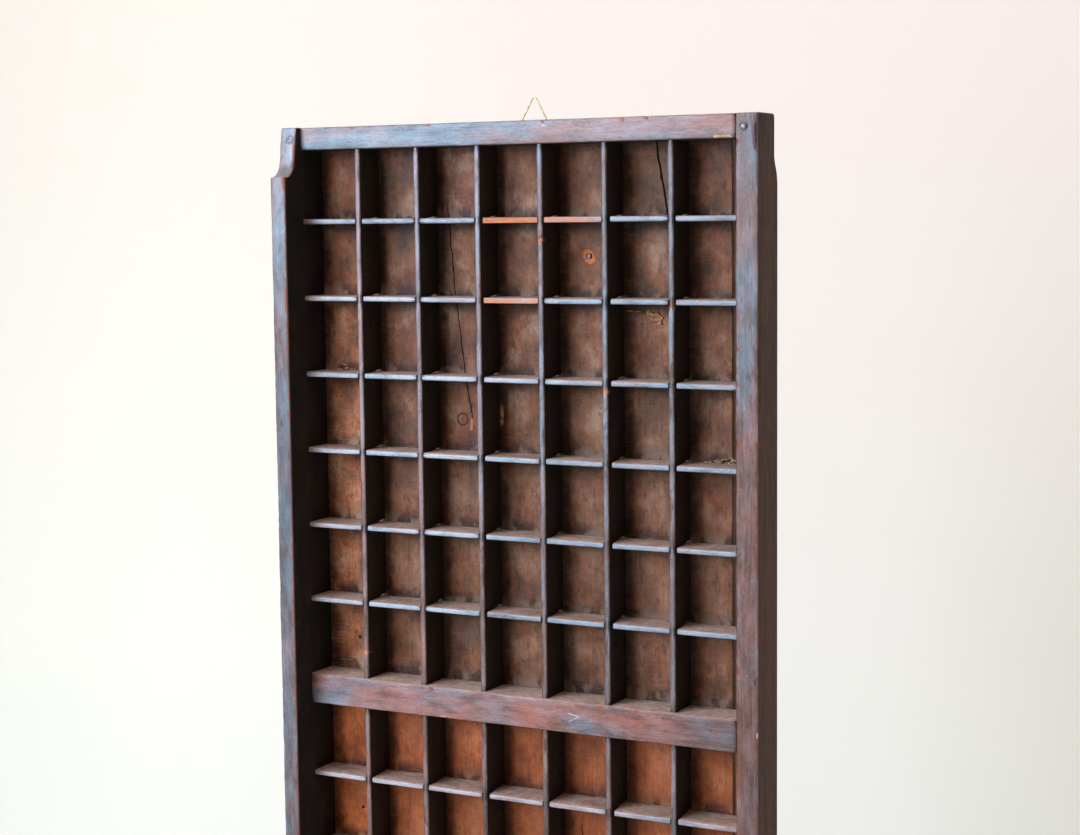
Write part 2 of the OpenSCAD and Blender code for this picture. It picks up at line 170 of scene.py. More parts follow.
class Graph:
    """Short calls that add shader nodes to one tree and give back the output socket."""

    def __init__(self, tree):
        self.tree = tree

    def node(self, kind, values=None, **settings):
        made = self.tree.nodes.new("ShaderNode" + kind)
        for name, value in settings.items():
            setattr(made, name, value)
        for key, value in (values or {}).items():
            self.put(made.inputs[key], value)
        return made

    def put(self, socket, value):
        if isinstance(value, bpy.types.NodeSocket):
            self.tree.links.new(value, socket)
        else:
            socket.default_value = value

    def maths(self, kind, a, b=0.0, clamp=False):
        return self.node("Math", {0: a, 1: b}, operation=kind, use_clamp=clamp).outputs[0]

    def chain(self, kind, values):
        total = values[0]
        for value in values[1:]:
            total = self.maths(kind, total, value)
        return total

    def add(self, *values):
        return self.chain("ADD", values)

    def times(self, *values):
        return self.chain("MULTIPLY", values)

    def most(self, *values):
        return self.chain("MAXIMUM", values)

    def less(self, a, b, clamp=False):
        return self.maths("SUBTRACT", a, b, clamp)

    def swing(self, value, size):
        """How far a value from 0 to 1 lies off its middle, made size times as large."""
        return self.times(self.less(value, 0.5), size)

    def vector(self, kind, a, b=ORIGIN, output=0):
        return self.node("VectorMath", {0: a, 1: b}, operation=kind).outputs[output]

    def stretched(self, vector, *sizes):
        return self.vector("MULTIPLY", vector, sizes)

    def scaled(self, vector, size):
        return self.node("VectorMath", {0: vector, "Scale": size}, operation="SCALE").outputs[0]

    def parts(self, vector):
        return self.node("SeparateXYZ", {0: vector}).outputs

    def rise(self, value, low, high, to_low=0.0, to_high=1.0):
        """0 below low and 1 above high, with a soft step between."""
        values = {"Value": value, "From Min": low, "From Max": high, "To Min": to_low, "To Max": to_high}
        return self.node("MapRange", values, interpolation_type="SMOOTHSTEP").outputs[0]

    def noise(self, vector, scale=1.0, detail=3.0, rough=0.55, twist=0.0):
        values = {
            "Vector": vector, "Scale": scale, "Detail": detail, "Roughness": rough, "Distortion": twist,
        }
        return self.node("TexNoise", values).outputs[0]

    def mix(self, share, a, b):
        return self.node("Mix", {0: share, 6: a, 7: b}, data_type="RGBA").outputs[2]

    def lay(self, colour, *coats):
        """Lays coats over a colour, each given as its share and its tone."""
        for share, tone in coats:
            colour = self.mix(share, colour, tone)
        return colour

    def own(self, tree, **values):
        """Places a node group, its inputs named with _ for a blank."""
        made = self.node("Group", node_tree=tree)
        for name, value in values.items():
            self.put(made.inputs[name.replace("_", " ")], value)
        return made.outputs

    def give(self, **values):
        """Joins values to the outputs of a group, and gives back its tree."""
        for name, value in values.items():
            self.put(self.out[name], value)
        return self.tree


def group(name, *outputs, **inputs):
    """The graph of a new node group, with its inputs in given and its outputs in out. Each group looks at
    a place, its input Vector. Inputs are named with _ for a blank."""
    tree = bpy.data.node_groups.new(name, "ShaderNodeTree")
    for label, value in {"Vector": ORIGIN, **inputs}.items():
        kind = "NodeSocketVector" if isinstance(value, tuple) else "NodeSocketFloat"
        socket = tree.interface.new_socket(label.replace("_", " "), in_out="INPUT", socket_type=kind)
        socket.default_value = value
    for label in outputs:
        tree.interface.new_socket(label, in_out="OUTPUT", socket_type="NodeSocketFloat")
    g = Graph(tree)
    g.given = tree.nodes.new("NodeGroupInput").outputs
    g.out = tree.nodes.new("NodeGroupOutput").inputs
    g.spot = g.given["Vector"]
    return g


def make_wood_grain():
    """Grain along the first axis of Vector, in mm: fine lines, broad bands, pores and a height."""
    g = group("wood_grain", "Lines", "Bands", "Pores", "Height", Fineness=1.0)
    bend = g.noise(g.stretched(g.spot, 0.012, 0.05, 0.05), detail=2.0)
    sway = g.node("CombineXYZ", {1: g.times(bend, 9.0), 2: g.times(bend, 6.0)}).outputs[0]
    bent = g.vector("ADD", g.spot, sway)
    fine = g.scaled(bent, g.given["Fineness"])
    lines = g.noise(g.stretched(fine, 0.018, 0.9, 0.9), detail=5.0, rough=0.65)
    bands = g.noise(g.stretched(bent, 0.006, 0.14, 0.14), detail=3.0, rough=0.6)
    pores = g.rise(g.noise(g.stretched(fine, 0.22, 3.2, 3.2), detail=2.0), 0.62, 0.74)
    return g.give(Lines=g.rise(lines, 0.3, 0.7), Bands=g.rise(bands, 0.32, 0.68), Pores=pores,
                  Height=g.less(lines, g.times(pores, 0.35)))


def make_stain_patches():
    """Uneven old finish: broad clouds and ragged flaked places, with places in mm."""
    g = group("stain_patches", "Clouds", "Flakes", Width=40.0, Stretch=(1.0, 1.0, 1.0))
    spread = g.vector("MULTIPLY", g.spot, g.given["Stretch"])
    scaled = g.scaled(spread, g.maths("DIVIDE", 1.0, g.given["Width"]))
    return g.give(Clouds=g.rise(g.noise(scaled, 1.0, 4.0, 0.6), 0.38, 0.64),
                  Flakes=g.rise(g.noise(scaled, 3.1, 6.0, 0.7, 0.3), 0.56, 0.62))


def make_worn_arris():
    """Ragged line of bare wood along rubbed corners, from the mesh's own wear value."""
    g = group("worn_arris", "Rubbed", "Broken", Wear=0.0, Amount=0.5)
    ragged = g.noise(g.spot, 0.22, 5.0, 0.7)
    slow = g.noise(g.spot, 0.021, 2.0, 0.5)
    level = g.add(g.given["Wear"], g.swing(ragged, 0.9), g.swing(slow, 1.2), g.less(g.given["Amount"], 0.5))
    rubbed = g.rise(level, 0.72, 0.98)
    return g.give(Rubbed=rubbed, Broken=g.times(rubbed, g.rise(ragged, 0.5, 0.6)))


def facing(g, axis, low, high):
    """How far the face looks along an axis of the case: 0 for x, 1 for the front, 2 for up."""
    value = g.parts(g.node("NewGeometry").outputs["Normal"])[axis]
    return g.rise(g.times(value, -1.0) if axis == 1 else value, low, high)


def make_settled_dust():
    """Dust that lies on faces that look up."""
    g = group("settled_dust", "Dust", Amount=0.6)
    flecks = g.noise(g.spot, 0.2, 5.0, 0.6)
    drifts = g.noise(g.spot, 0.04, 3.0, 0.6)
    amount = g.rise(g.add(g.times(flecks, 0.5), drifts, g.given["Amount"]), 0.68, 1.55)
    return g.give(Dust=g.times(facing(g, 2, 0.45, 0.9), amount))


def make_scratches():
    """Fine straight scores in three directions, with places in mm."""
    g = group("scratches", "Scores", Density=0.5)
    masks = []
    for turn, seed in ((0.5, 3.0), (-0.9, 47.0), (1.35, 91.0)):
        moved = g.node("Mapping", {"Vector": g.spot, "Location": (seed, seed, seed),
                                   "Rotation": (0.0, turn, 0.0), "Scale": (0.018, 0.25, 1.1)})
        field = g.noise(moved.outputs[0], 1.0, 1.0, 0.4, 0.25)
        masks.append(g.rise(g.maths("ABSOLUTE", g.less(field, 0.5)), 0.0, 0.009, 1.0, 0.0))
    gate = g.rise(g.add(g.noise(g.spot, 0.045, 2.0), g.given["Density"]), 1.0, 1.12)
    return g.give(Scores=g.times(g.most(*masks), gate))


def make_stroke():
    """A mark between two points of the case, in mm, with a ragged edge."""
    g = group("stroke", "Mark", Start=ORIGIN, End=ORIGIN, Width=1.0)
    way = g.vector("SUBTRACT", g.given["End"], g.given["Start"])
    off = g.vector("SUBTRACT", g.spot, g.given["Start"])
    run_on, whole = (g.vector("DOT_PRODUCT", v, way, "Value") for v in (off, way))
    foot = g.scaled(way, g.maths("DIVIDE", run_on, g.most(whole, 0.001), clamp=True))
    away = g.vector("LENGTH", g.vector("SUBTRACT", off, foot), output="Value")
    ragged = g.swing(g.noise(g.spot, 0.7, 4.0, 0.7), 1.3)
    away = g.add(g.maths("DIVIDE", away, g.given["Width"]), ragged)
    return g.give(Mark=g.rise(away, 0.42, 0.62, 1.0, 0.0))


def make_box_edges():
    """Nearness to the walls of a letter box, for painted shade, painted light and dust on the floor boards.
    Place in mm.
    """
    g = group("box_edges", "Edge", "Lower", "Right", First_X=0.0, First_Z=0.0, Pitch_X=49.0, Pitch_Z=55.5,
              Width=5.0)
    place_x, _, place_z = g.parts(g.spot)
    wobble = g.swing(g.noise(g.spot, 0.09, 4.0, 0.65), 2.2)

    def near_wall(value, axis, before, after):
        """Nearness to the walls across an axis, and the part of it on one side of them."""
        off, pitch = g.less(value, g.given[f"First {axis}"]), g.given[f"Pitch {axis}"]
        distance = g.maths("PINGPONG", off, g.maths("DIVIDE", pitch, 2.0))
        near = g.rise(g.add(g.maths("DIVIDE", distance, g.given["Width"]), wobble), 0.5, 2.0, 1.0, 0.0)
        share = g.maths("FRACT", g.maths("DIVIDE", off, pitch))
        return near, g.times(near, g.rise(share, 0.45, 0.55, before, after))

    near_x, right = near_wall(place_x, "X", 0.0, 1.0)
    near_z, lower = near_wall(place_z, "Z", 1.0, 0.0)
    return g.give(Edge=g.most(near_x, near_z), Lower=lower, Right=right)


GRAIN, PATCHES, ARRIS = make_wood_grain(), make_stain_patches(), make_worn_arris()
DUST, SCRATCHES, STROKE, EDGES = make_settled_dust(), make_scratches(), make_stroke(), make_box_edges()


# Materials


def start_material(name, **constants):
    """A material with its Principled node; constants are set on the shader's own sockets."""
    material = bpy.data.materials.new(name)
    material.use_nodes = True
    g = Graph(material.node_tree)
    shader = g.tree.nodes["Principled BSDF"]
    for label, value in constants.items():
        shader.inputs[label.replace("_", " ")].default_value = value
    return material, g, shader


def dress(g, shader, colour, rough, height, strength, distance):
    g.put(shader.inputs["Base Color"], colour)
    g.put(shader.inputs["Roughness"], rough)
    values = {"Strength": strength, "Distance": distance, "Height": height}
    g.put(shader.inputs["Normal"], g.node("Bump", values).outputs[0])


def case_point(g):
    """The place on the case in mm, as x, minus depth, z."""
    scaled = g.scaled(g.node("TexCoord").outputs["Object"], 1 / MM)
    return g.vector("ADD", scaled, (HANG_X, HANG_Y, HANG_Z))


def attribute(g, name, kind="Fac"):
    return g.node("Attribute", attribute_name=name, attribute_type="GEOMETRY").outputs[kind]


def marks(g, point, colour, tone, depth, strokes):
    """Paints a set of strokes at one depth, each x, z, x, z and width, in one tone."""
    for x0, z0, x1, z1, width in strokes:
        ends = {"Start": (x0, -depth, z0), "End": (x1, -depth, z1)}
        colour = g.mix(g.own(STROKE, Vector=point, Width=width, **ends)["Mark"], colour, tone)
    return colour


def nail_head_shade(x):
    """Painted shade: dark rings round the heads of the two corner nails on one side."""
    return [(x, z, x, z, 6.2) for z in (NAILS[4] + HEAD_R, NAILS[5] - HEAD_R)]


# Marks on the frame's front: tone, depth and strokes
FRAME_MARKS = [
    # Painted shade round the corner nails' heads
    (srgb(26, 18, 16), NAILS[3], nail_head_shade(NAILS[0] + HEAD_R)),
    (srgb(26, 18, 16), FRAME_D, nail_head_shade(NAILS[1] - HEAD_R)),
    # Torn wood
    (srgb(214, 164, 122), FRAME_D, [
        (153.5, 809.2, 165.0, 808.9, 2.2),
        (-59.5, 402.2, -57.0, 402.0, 1.8),
    ]),
    # Pale scratches and nicks, the chevron on the bar among them
    (srgb(196, 190, 196), FRAME_D, [
        (27.0, 820.5, 28.2, 820.7, 1.1),
        (42.5, 415.2, 51.1, 413.5, 0.8),
        (51.1, 413.5, 42.9, 409.4, 0.7),
        (84.6, 823.6, 86.3, 821.9, 0.6),
        (88.2, 823.8, 86.3, 821.9, 0.6),
        (47.4, 822.0, 48.1, 820.1, 0.5),
        (82.6, 423.9, 134.7, 423.4, 0.5),
        (183.0, 415.8, 183.0, 413.2, 1.1),
    ]),
    # The dark gouge at the top right
    (srgb(66, 26, 20), FRAME_D, [
        (182.8, 825.0, 181.8, 800.0, 1.3),
        (178.2, 825.4, 181.2, 802.0, 1.7),
        (180.6, 825.4, 181.8, 810.0, 1.5),
    ]),
]
WOOD_ROUGHNESS = 0.26


def old_wood(name, tones, bloom_and_sheens, worn_tone, raw_tone, wear, dust_amount, unrest, mark_sets=()):
    """Dark finished wood: tones are deep, middle, pale and red; the next two are the cool and the warm tone
    of the painted sheen on its front, part haze on the old finish and part the window light's reflection,
    which the mesh's own value makes strong or weak, with a painted highlight where it is high; unrest is
    how much its hue changes."""
    deep, mid, pale, red = tones
    material, g, shader = start_material(name, Specular_IOR_Level=0.55, Coat_Roughness=0.26)
    grain_place = attribute(g, "grain", "Vector")
    point = case_point(g)
    place_x, place_depth, _ = g.parts(point)
    grain = g.own(GRAIN, Vector=grain_place, Fineness=1.0)
    patches = g.own(PATCHES, Vector=grain_place, Width=42.0, Stretch=(0.3, 1.0, 1.0))
    small = g.own(PATCHES, Vector=grain_place, Width=13.0, Stretch=(0.35, 1.0, 1.0))
    # The cove of the tall side is as smooth and clean as its front
    clean = g.times(g.rise(place_x, X_LEFT - 1.5, X_LEFT, 1.0, 0.0), facing(g, 2, 0.15, 0.6))
    front = g.most(facing(g, 1, 0.3, 0.8), clean)

    colour = g.lay(
        g.mix(grain["Bands"], deep, mid),
        (g.times(grain["Lines"], 0.6), pale),
        (g.times(patches["Clouds"], g.add(g.times(front, 0.45), 0.35)), red),
        (g.times(small["Flakes"], g.add(g.times(front, 0.25), 0.4)), deep),
    )

    # Painted sheen on the front: part haze on the old finish, part the window light's reflection painted
    # into the colour
    bloom_and_sheen = attribute(g, "bloom_and_sheen")
    bloom_and_sheen_share = g.add(g.times(grain["Lines"], 0.14), g.times(small["Clouds"], 0.3))
    bloom_and_sheen_share = g.add(g.less(bloom_and_sheen_share, g.times(patches["Flakes"], 0.35)), g.times(bloom_and_sheen, 1.3))
    drift = g.noise(g.stretched(grain_place, 0.02, 0.055, 0.055), 1.0, 5.0, 0.6)
    hue = g.maths("ADD", attribute(g, "warmth"), g.swing(drift, unrest), clamp=True)
    smoke = g.noise(g.stretched(grain_place, 0.04, 0.12, 0.12), 1.0, 5.0, 0.65)
    tone = g.lay(
        g.mix(hue, *bloom_and_sheens),
        (g.rise(smoke, 0.34, 0.52, 0.5, 0.0), deep),
        (g.rise(smoke, 0.5, 0.68, 0.0, 0.4), g.mix(hue, srgb(176, 192, 206), srgb(206, 152, 138))),
    )
    # Painted highlight: a pale glint on fronts where the mesh's value passes 1.2
    painted_highlight_share = g.add(bloom_and_sheen, g.times(g.less(small["Clouds"], 0.6), 0.8))
    painted_highlight = g.mix(hue, srgb(206, 217, 230), srgb(216, 186, 180))
    specks = g.noise(g.stretched(grain_place, 0.5, 1.6, 1.6), 1.0, 5.0, 0.7)
    nicks = g.rise(g.noise(grain_place, 0.8, 2.0, 0.5), 0.735, 0.76)
    arris = g.own(ARRIS, Vector=grain_place, Wear=attribute(g, "wear"), Amount=wear)
    raw = g.rise(g.add(attribute(g, "raw"), g.swing(grain["Lines"], 0.6)), 0.4, 0.7)
    colour = g.lay(
        colour,
        (g.times(front, g.rise(bloom_and_sheen_share, 0.35, 1.45), 0.92), tone),
        (g.times(front, g.rise(painted_highlight_share, 1.2, 2.2), 0.7), painted_highlight),
        (g.rise(specks, 0.32, 0.48, 0.5, 0.0), deep),
        # Painted highlight: pale glinting specks on the front
        (g.times(front, g.rise(specks, 0.56, 0.7), 0.16), srgb(206, 200, 204)),
        (g.times(front, nicks, 0.5), srgb(220, 214, 212)),
        (g.times(g.rise(grain["Lines"], 0.0, 0.35, 1.0, 0.0), 0.22), deep),
        (g.times(grain["Pores"], 0.45), deep),
        (g.times(arris["Rubbed"], 0.7), worn_tone),
        (g.times(arris["Broken"], 0.5), raw_tone),
        (g.times(raw, 0.85), g.mix(grain["Lines"], worn_tone, raw_tone)),
    )
    for tone, depth, strokes in mark_sets:
        colour = marks(g, point, colour, tone, depth, strokes)

    # Painted shade in recesses: near joints, along the floor and at the rails' ends
    painted_recess_shade = g.rise(g.add(attribute(g, "painted_recess_shade"), g.swing(small["Clouds"], 0.5)), 0.15, 1.0)
    # More dust lies at the back of each box
    amount = g.add(g.rise(place_depth, -17.0, -7.0, -0.1, 0.35), dust_amount)
    dust = g.times(g.own(DUST, Vector=point, Amount=amount)["Dust"], g.less(1.0, g.times(clean, 0.8)))
    flecks = g.rise(g.noise(point, 0.22, 5.0, 0.65), 0.3, 0.7)
    grit = g.rise(g.noise(point, 0.1, 5.0, 0.62), 0.5, 0.7, 0.0, 0.25)
    settled = g.mix(grit, g.mix(flecks, srgb(176, 140, 122), srgb(208, 182, 168)), srgb(88, 42, 32))
    top = g.less(facing(g, 2, 0.5, 0.9), clean, clamp=True)
    colour = g.lay(
        colour,
        # Painted shade on side faces that the window light doesn't reach
        (g.times(attribute(g, "shade"), g.rise(small["Clouds"], 0.0, 1.0, 0.98, 0.85)), srgb(14, 8, 5)),
        # Painted shade in recesses
        (g.times(painted_recess_shade, 0.8), srgb(16, 10, 8)),
        (g.times(top, 0.6), srgb(128, 84, 66)),
        (g.times(dust, 0.9), settled),
    )

    rough = g.add(g.times(patches["Clouds"], 0.14), g.times(small["Flakes"], 0.14),
                  g.times(grain["Lines"], 0.14), WOOD_ROUGHNESS)
    dull = g.less(1.0, front)
    rough = g.most(rough, g.times(raw, 0.75), g.times(painted_recess_shade, 0.7), g.times(dust, 0.9),
                   g.times(arris["Rubbed"], 0.5), g.times(dull, 0.82))
    g.put(shader.inputs["Coat Weight"], g.times(g.less(1.0, g.most(raw, painted_recess_shade, dust, dull)), 0.3))
    height = g.less(g.add(grain["Height"], g.times(small["Clouds"], 0.5)), g.times(arris["Broken"], 0.6))
    dress(g, shader, colour, rough, height, 0.45, 0.0006)
    return material


FRAME_WOOD = old_wood(
    "dark_frame_wood", (srgb(34, 22, 17), srgb(82, 55, 42), srgb(118, 89, 72), srgb(116, 64, 50)),
    (srgb(114, 138, 154), srgb(180, 106, 88)), srgb(132, 70, 54), srgb(164, 88, 62),
    wear=0.64, dust_amount=0.75, unrest=2.5, mark_sets=FRAME_MARKS)
DIVIDER_WOOD = old_wood(
    "dark_divider_wood", (srgb(32, 22, 14), srgb(80, 54, 36), srgb(114, 88, 64), srgb(112, 66, 46)),
    (srgb(146, 168, 188), srgb(178, 128, 120)), srgb(176, 104, 70), srgb(250, 150, 88),
    wear=0.45, dust_amount=0.6, unrest=1.4)


# Spots on the floor boards, rings as x, z, radius and half width
UPPER_FLOOR_SPOTS = {
    "rings": [(-54.4, 614.4, 4.2, 1.1)],
    "dark": [
        (-145.5, 447.4, -145.5, 447.6, 2.6),
        (-50.8, 642.0, -46.0, 614.0, 0.9),
    ],
    "raw": [
        (93.0, 692.3, 102.4, 685.6, 4.2),
        (-22.4, 624.0, -22.7, 612.5, 3.4),
        (-12.0, 677.1, -8.7, 661.6, 0.9),
        (-46.6, 614.0, -47.6, 607.4, 2.4),
    ],
    "bright": [(46.4, 731.8, 48.8, 729.4, 6.6)],
}
LOWER_FLOOR_SPOTS = {"dark": [(-145.4, 317.4, -145.4, 317.6, 2.6)]}
SPOT_TONES = {"dark": srgb(24, 15, 11), "raw": srgb(186, 120, 82), "bright": srgb(222, 122, 60)}


def floor_wood(name, half, tones, dusty, streak_and_shade_tone, orange, spots):
    """Bare floor boards: mottled and dusty, with painted shade along the walls of each box and painted
    light by each box's right-hand wall, and plain brown behind.
    """
    deep, mid, pale = tones
    material, g, shader = start_material(name, Specular_IOR_Level=0.4)
    point = case_point(g)
    place_x, _, place_z = g.parts(point)
    grain = g.own(GRAIN, Vector=attribute(g, "grain", "Vector"), Fineness=0.8)
    wide = g.own(PATCHES, Vector=point, Width=58.0, Stretch=(1.0, 1.0, 0.7))
    small = g.own(PATCHES, Vector=point, Width=16.0, Stretch=(1.0, 1.0, 0.6))
    moved = g.vector("ADD", point, (37.0, 0.0, 91.0))
    streaks = g.own(PATCHES, Vector=moved, Width=9.0, Stretch=(1.6, 1.0, 0.28))
    smoke = g.noise(g.stretched(point, 0.045, 0.045, 0.035), 1.0, 5.0, 0.65)
    haze = g.times(g.rise(smoke, 0.5, 0.68), g.rise(place_z, 480.0, 700.0, 0.42, 0.7))
    flecks = g.noise(point, 0.32, 5.0, 0.75)
    left = g.rise(place_x, X_LEFT + 20.0, X_LEFT + 70.0, 1.0, 0.0)
    rows = CROSS_Z[half]
    edges = g.own(EDGES, Vector=point, First_X=LONG_X[0], First_Z=rows[0], Pitch_X=LONG_X[1] - LONG_X[0],
                  Pitch_Z=rows[0] - rows[1], Width=6.0)
    # Painted shade along the walls of each box, less by the right-hand wall, where the window light falls
    walls = g.less(edges["Edge"], g.times(edges["Right"], 0.65), clamp=True)
    scores = g.own(SCRATCHES, Vector=point, Density=0.58)["Scores"]
    colour = g.lay(
        g.mix(grain["Bands"], deep, mid),
        (g.times(grain["Lines"], 0.52), pale),
        # Orange in clouds, and as painted light, beside the tall side
        (g.add(g.times(wide["Clouds"], 0.5), g.times(left, 0.45)), orange),
        (g.times(streaks["Clouds"], 0.5), orange),
        (g.rise(smoke, 0.34, 0.56, 0.8, 0.0), deep),
        (haze, dusty),
        (g.times(small["Clouds"], 0.2), dusty),
        (g.times(small["Flakes"], 0.45), deep),
        (g.times(streaks["Flakes"], 0.3), streak_and_shade_tone),
        (g.times(grain["Pores"], 0.35), deep),
        (g.times(g.rise(grain["Lines"], 0.0, 0.3, 1.0, 0.0), 0.2), deep),
        (g.rise(flecks, 0.56, 0.72, 0.0, 0.7), orange),
        (g.rise(flecks, 0.3, 0.44, 0.6, 0.0), deep),
        # Painted shade along the walls, painted light by the right-hand wall, and dust along the lower wall
        (g.times(walls, 0.8), streak_and_shade_tone),
        (g.times(edges["Right"], 0.3), dusty),
        (g.times(edges["Lower"], g.rise(small["Clouds"], 0.3, 0.9), 0.45), dusty),
        (g.times(scores, 0.5), dusty),
    )
    # Painted light: the boards are brightened beside the tall side, against the shadow it casts, but not at
    # the top
    painted_light_by_tall = g.times(left, g.rise(place_z, 600.0, 800.0, 1.0 if half == "upper" else 0.6, 0.0))
    colour = g.mix(painted_light_by_tall, colour, g.stretched(colour, 2.1, 2.15, 2.1))
    for x, z, radius, breadth in spots.get("rings", []):
        off = g.stretched(g.vector("SUBTRACT", point, (x, 0.0, z)), 1.0, 0.0, 1.0)
        band = g.maths("ABSOLUTE", g.less(g.vector("LENGTH", off, output="Value"), radius))
        colour = g.mix(g.rise(band, breadth * 0.25, breadth, 0.85, 0.0), colour, SPOT_TONES["dark"])
    for kind, tone in SPOT_TONES.items():
        colour = marks(g, point, colour, tone, FLOOR_T, spots.get(kind, []))
    behind = g.lay(
        g.mix(grain["Bands"], srgb(84, 60, 42), srgb(124, 92, 66)),
        (g.times(grain["Lines"], 0.5), srgb(150, 118, 88)),
        (g.times(wide["Clouds"], 0.5), srgb(96, 66, 46)),
        (g.times(small["Flakes"], 0.3), srgb(62, 42, 30)),
        (g.times(grain["Pores"], 0.4), srgb(48, 32, 22)),
    )
    colour = g.lay(
        colour,
        (g.rise(g.add(attribute(g, "raw"), g.swing(flecks, 1.6)), 0.3, 0.7), srgb(222, 116, 48)),
        # Painted shade in the splits, the torn hollow and the tack's hole
        (g.rise(attribute(g, "painted_recess_shade"), 0.2, 0.9), srgb(14, 9, 7)),
    )
    colour = g.mix(facing(g, 1, -0.2, 0.3), behind, colour)
    rough = g.add(g.times(small["Clouds"], 0.2), g.times(grain["Lines"], 0.12), 0.45)
    height = g.less(g.add(grain["Height"], g.times(small["Clouds"], 0.4)), g.times(scores, 0.5))
    dress(g, shader, colour, rough, height, 0.45, 0.0006)
    return material


UPPER_FLOOR = floor_wood(
    "dark_floor_wood", "upper", (srgb(64, 36, 20), srgb(136, 86, 54), srgb(166, 114, 80)),
    srgb(190, 154, 128), srgb(30, 16, 10), srgb(162, 84, 42), UPPER_FLOOR_SPOTS)
LOWER_FLOOR = floor_wood(
    "rust_floor_wood", "lower", (srgb(116, 52, 22), srgb(192, 96, 46), srgb(218, 128, 70)),
    srgb(208, 138, 96), srgb(52, 24, 14), srgb(196, 98, 46), LOWER_FLOOR_SPOTS)


def metal(name, clean, dull, spot, metallic, roughness, width):
    """Old metal: a clean tone under a dull film and spots of corrosion, width apart in mm."""
    material, g, shader = start_material(name)
    point = case_point(g)
    patches = g.own(PATCHES, Vector=point, Width=width, Stretch=(1.0, 1.0, 1.0))
    speck = g.noise(point, 3.0, 4.0, 0.7)
    colour = g.lay(
        clean,
        (patches["Clouds"], dull),
        (patches["Flakes"], spot),
        (g.rise(speck, 0.58, 0.7), spot),
    )
    g.put(shader.inputs["Metallic"], g.less(metallic, g.times(patches["Flakes"], 0.5), clamp=True))
    dress(g, shader, colour, g.add(g.times(patches["Clouds"], 0.25), roughness), speck, 0.3, 0.0001)
    return material


STEEL = metal(
    "rusty_nail_steel", srgb(134, 134, 138), srgb(92, 88, 86), srgb(64, 42, 32),
    metallic=0.85, roughness=0.4, width=3.0)
BRASS = metal(
    "aged_hanger_brass", srgb(238, 226, 186), srgb(214, 194, 140), srgb(160, 130, 84),
    metallic=0.95, roughness=0.28, width=9.0)


def crumbly(name, light, dark):
    """Dull broken bits in two tones."""
    material, g, shader = start_material(name, Specular_IOR_Level=0.2)
    point = case_point(g)
    colour = g.mix(g.rise(g.noise(point, 0.4, 3.0), 0.35, 0.65), dark, light)
    colour = g.mix(g.rise(g.noise(point, 2.6, 3.0), 0.5, 0.7), colour, dark)
    dress(g, shader, colour, 0.9, g.noise(point, 3.0, 4.0, 0.7), 0.5, 0.0002)
    return material


CRUMB = crumbly("crumb_dust", srgb(222, 190, 160), srgb(124, 90, 66))
TORN = crumbly("torn_wood", srgb(226, 176, 136), srgb(150, 96, 66))


# Worn planks


class Station:
    """One section of a plank at a place along it. notch_lo and notch_hi are steps cut from its back, as
    width and depth, at its low and high edge."""

    def __init__(self, u, t0, t1, d0, d1, notch_lo=(0.0, 0.0), notch_hi=(0.0, 0.0)):
        self.u, self.t0, self.t1, self.d0, self.d1 = u, t0, t1, d0, d1
        self.notch_lo, self.notch_hi = notch_lo, notch_hi
        self.r0 = self.r1 = 1.0
        self.raw0 = self.raw1 = self.raw_front = 0.0
        self.painted_recess_shade = self.shift = 0.0
        self.bloom_and_sheen = self.warmth = 0.5
        self.shade = (0.0, 0.0)


def waver(a, b, c, size, seed):
    """Smooth unevenness from -1 to 1."""
    return noise.noise(Vector((a / size + seed, b / size + seed * 0.37, c / size - seed * 0.61)))


def spike(u, size, seed, start):
    """Rare chips along an arris: 0 mostly, up to about 1."""
    return max(0.0, abs(waver(u, 0.0, 0.0, size, seed)) - start) / (1.0 - start)


def bell(distance, width):
    """1 at no distance, and falling softly to 0 on both sides."""
    return math.exp(-(distance / width) ** 2)


def fade(distance, length):
    """1 at no distance, and falling away over a length."""
    return math.exp(-max(0.0, distance) / length)


def along(share, values):
    """A value that changes along a piece, through evenly spaced values."""
    spot = min(1.0, max(0.0, share)) * (len(values) - 1)
    k = min(int(spot), len(values) - 2)
    return values[k] + (values[k + 1] - values[k]) * (spot - k)


def section(s, sides, fronts):
    """The points of one station, all round: across, depth, outward across, outward depth, wear, raw, side
    and painted shade, where side says how far a point lies on a side face and the last how much painted
    shade that face gets."""
    (w0, h0), (w1, h1) = s.notch_lo, s.notch_hi
    t0, t1, d0, d1 = s.t0, s.t1, s.d0, s.d1
    lo, hi = s.shade
    plain = (0, 0, 0, 0, 0, 0)
    points = [
        (t0, d0 + h0, -1, 0, 0, 0, 0, lo), (t0 + w0, d0 + h0, *plain), (t0 + w0, d0, *plain),
        (t1 - w1, d0, *plain), (t1 - w1, d0 + h1, *plain), (t1, d0 + h1, 1, 0, 0, 0, 0, hi),
    ]

    def side_face(order, t, way, notch, r, bare, dark):
        for k in order:
            d = d0 + notch + (d1 - r - d0 - notch) * k / (sides + 1)
            points.append((t, d, way, 0, 0, bare * (k == sides) * 0.4, 1, dark))

    def arris(quarter, t, r, bare, dark):
        for k in range(ARC + 1):
            a = math.pi / 2 * (quarter + k / ARC)
            c, n = math.cos(a), math.sin(a)
            points.append((t + r * c, d1 - r + r * n, c, n, abs(math.sin(2 * a)) ** 3,
                           max(bare, s.raw_front * n), 0.3, dark * c * c))

    side_face(range(1, sides + 1), t1, 1, h1, s.r1, s.raw1, hi)
    arris(0, t1 - s.r1, s.r1, s.raw1, hi)
    points += [(t, d1 - drop, 0, 1, 0, s.raw_front, 0, 0) for t, drop in fronts]
    arris(1, t0 + s.r0, s.r0, s.raw0, lo)
    side_face(range(sides, 0, -1), t0, -1, h0, s.r0, s.raw0, lo)
    return points


def flat_fronts(*shares):
    """Points at these shares of the way over a flat front."""
    def fronts(s):
        high, low = s.t1 - s.r1, s.t0 + s.r0
        return [(high + (low - high) * share, 0.0) for share in shares]
    return fronts


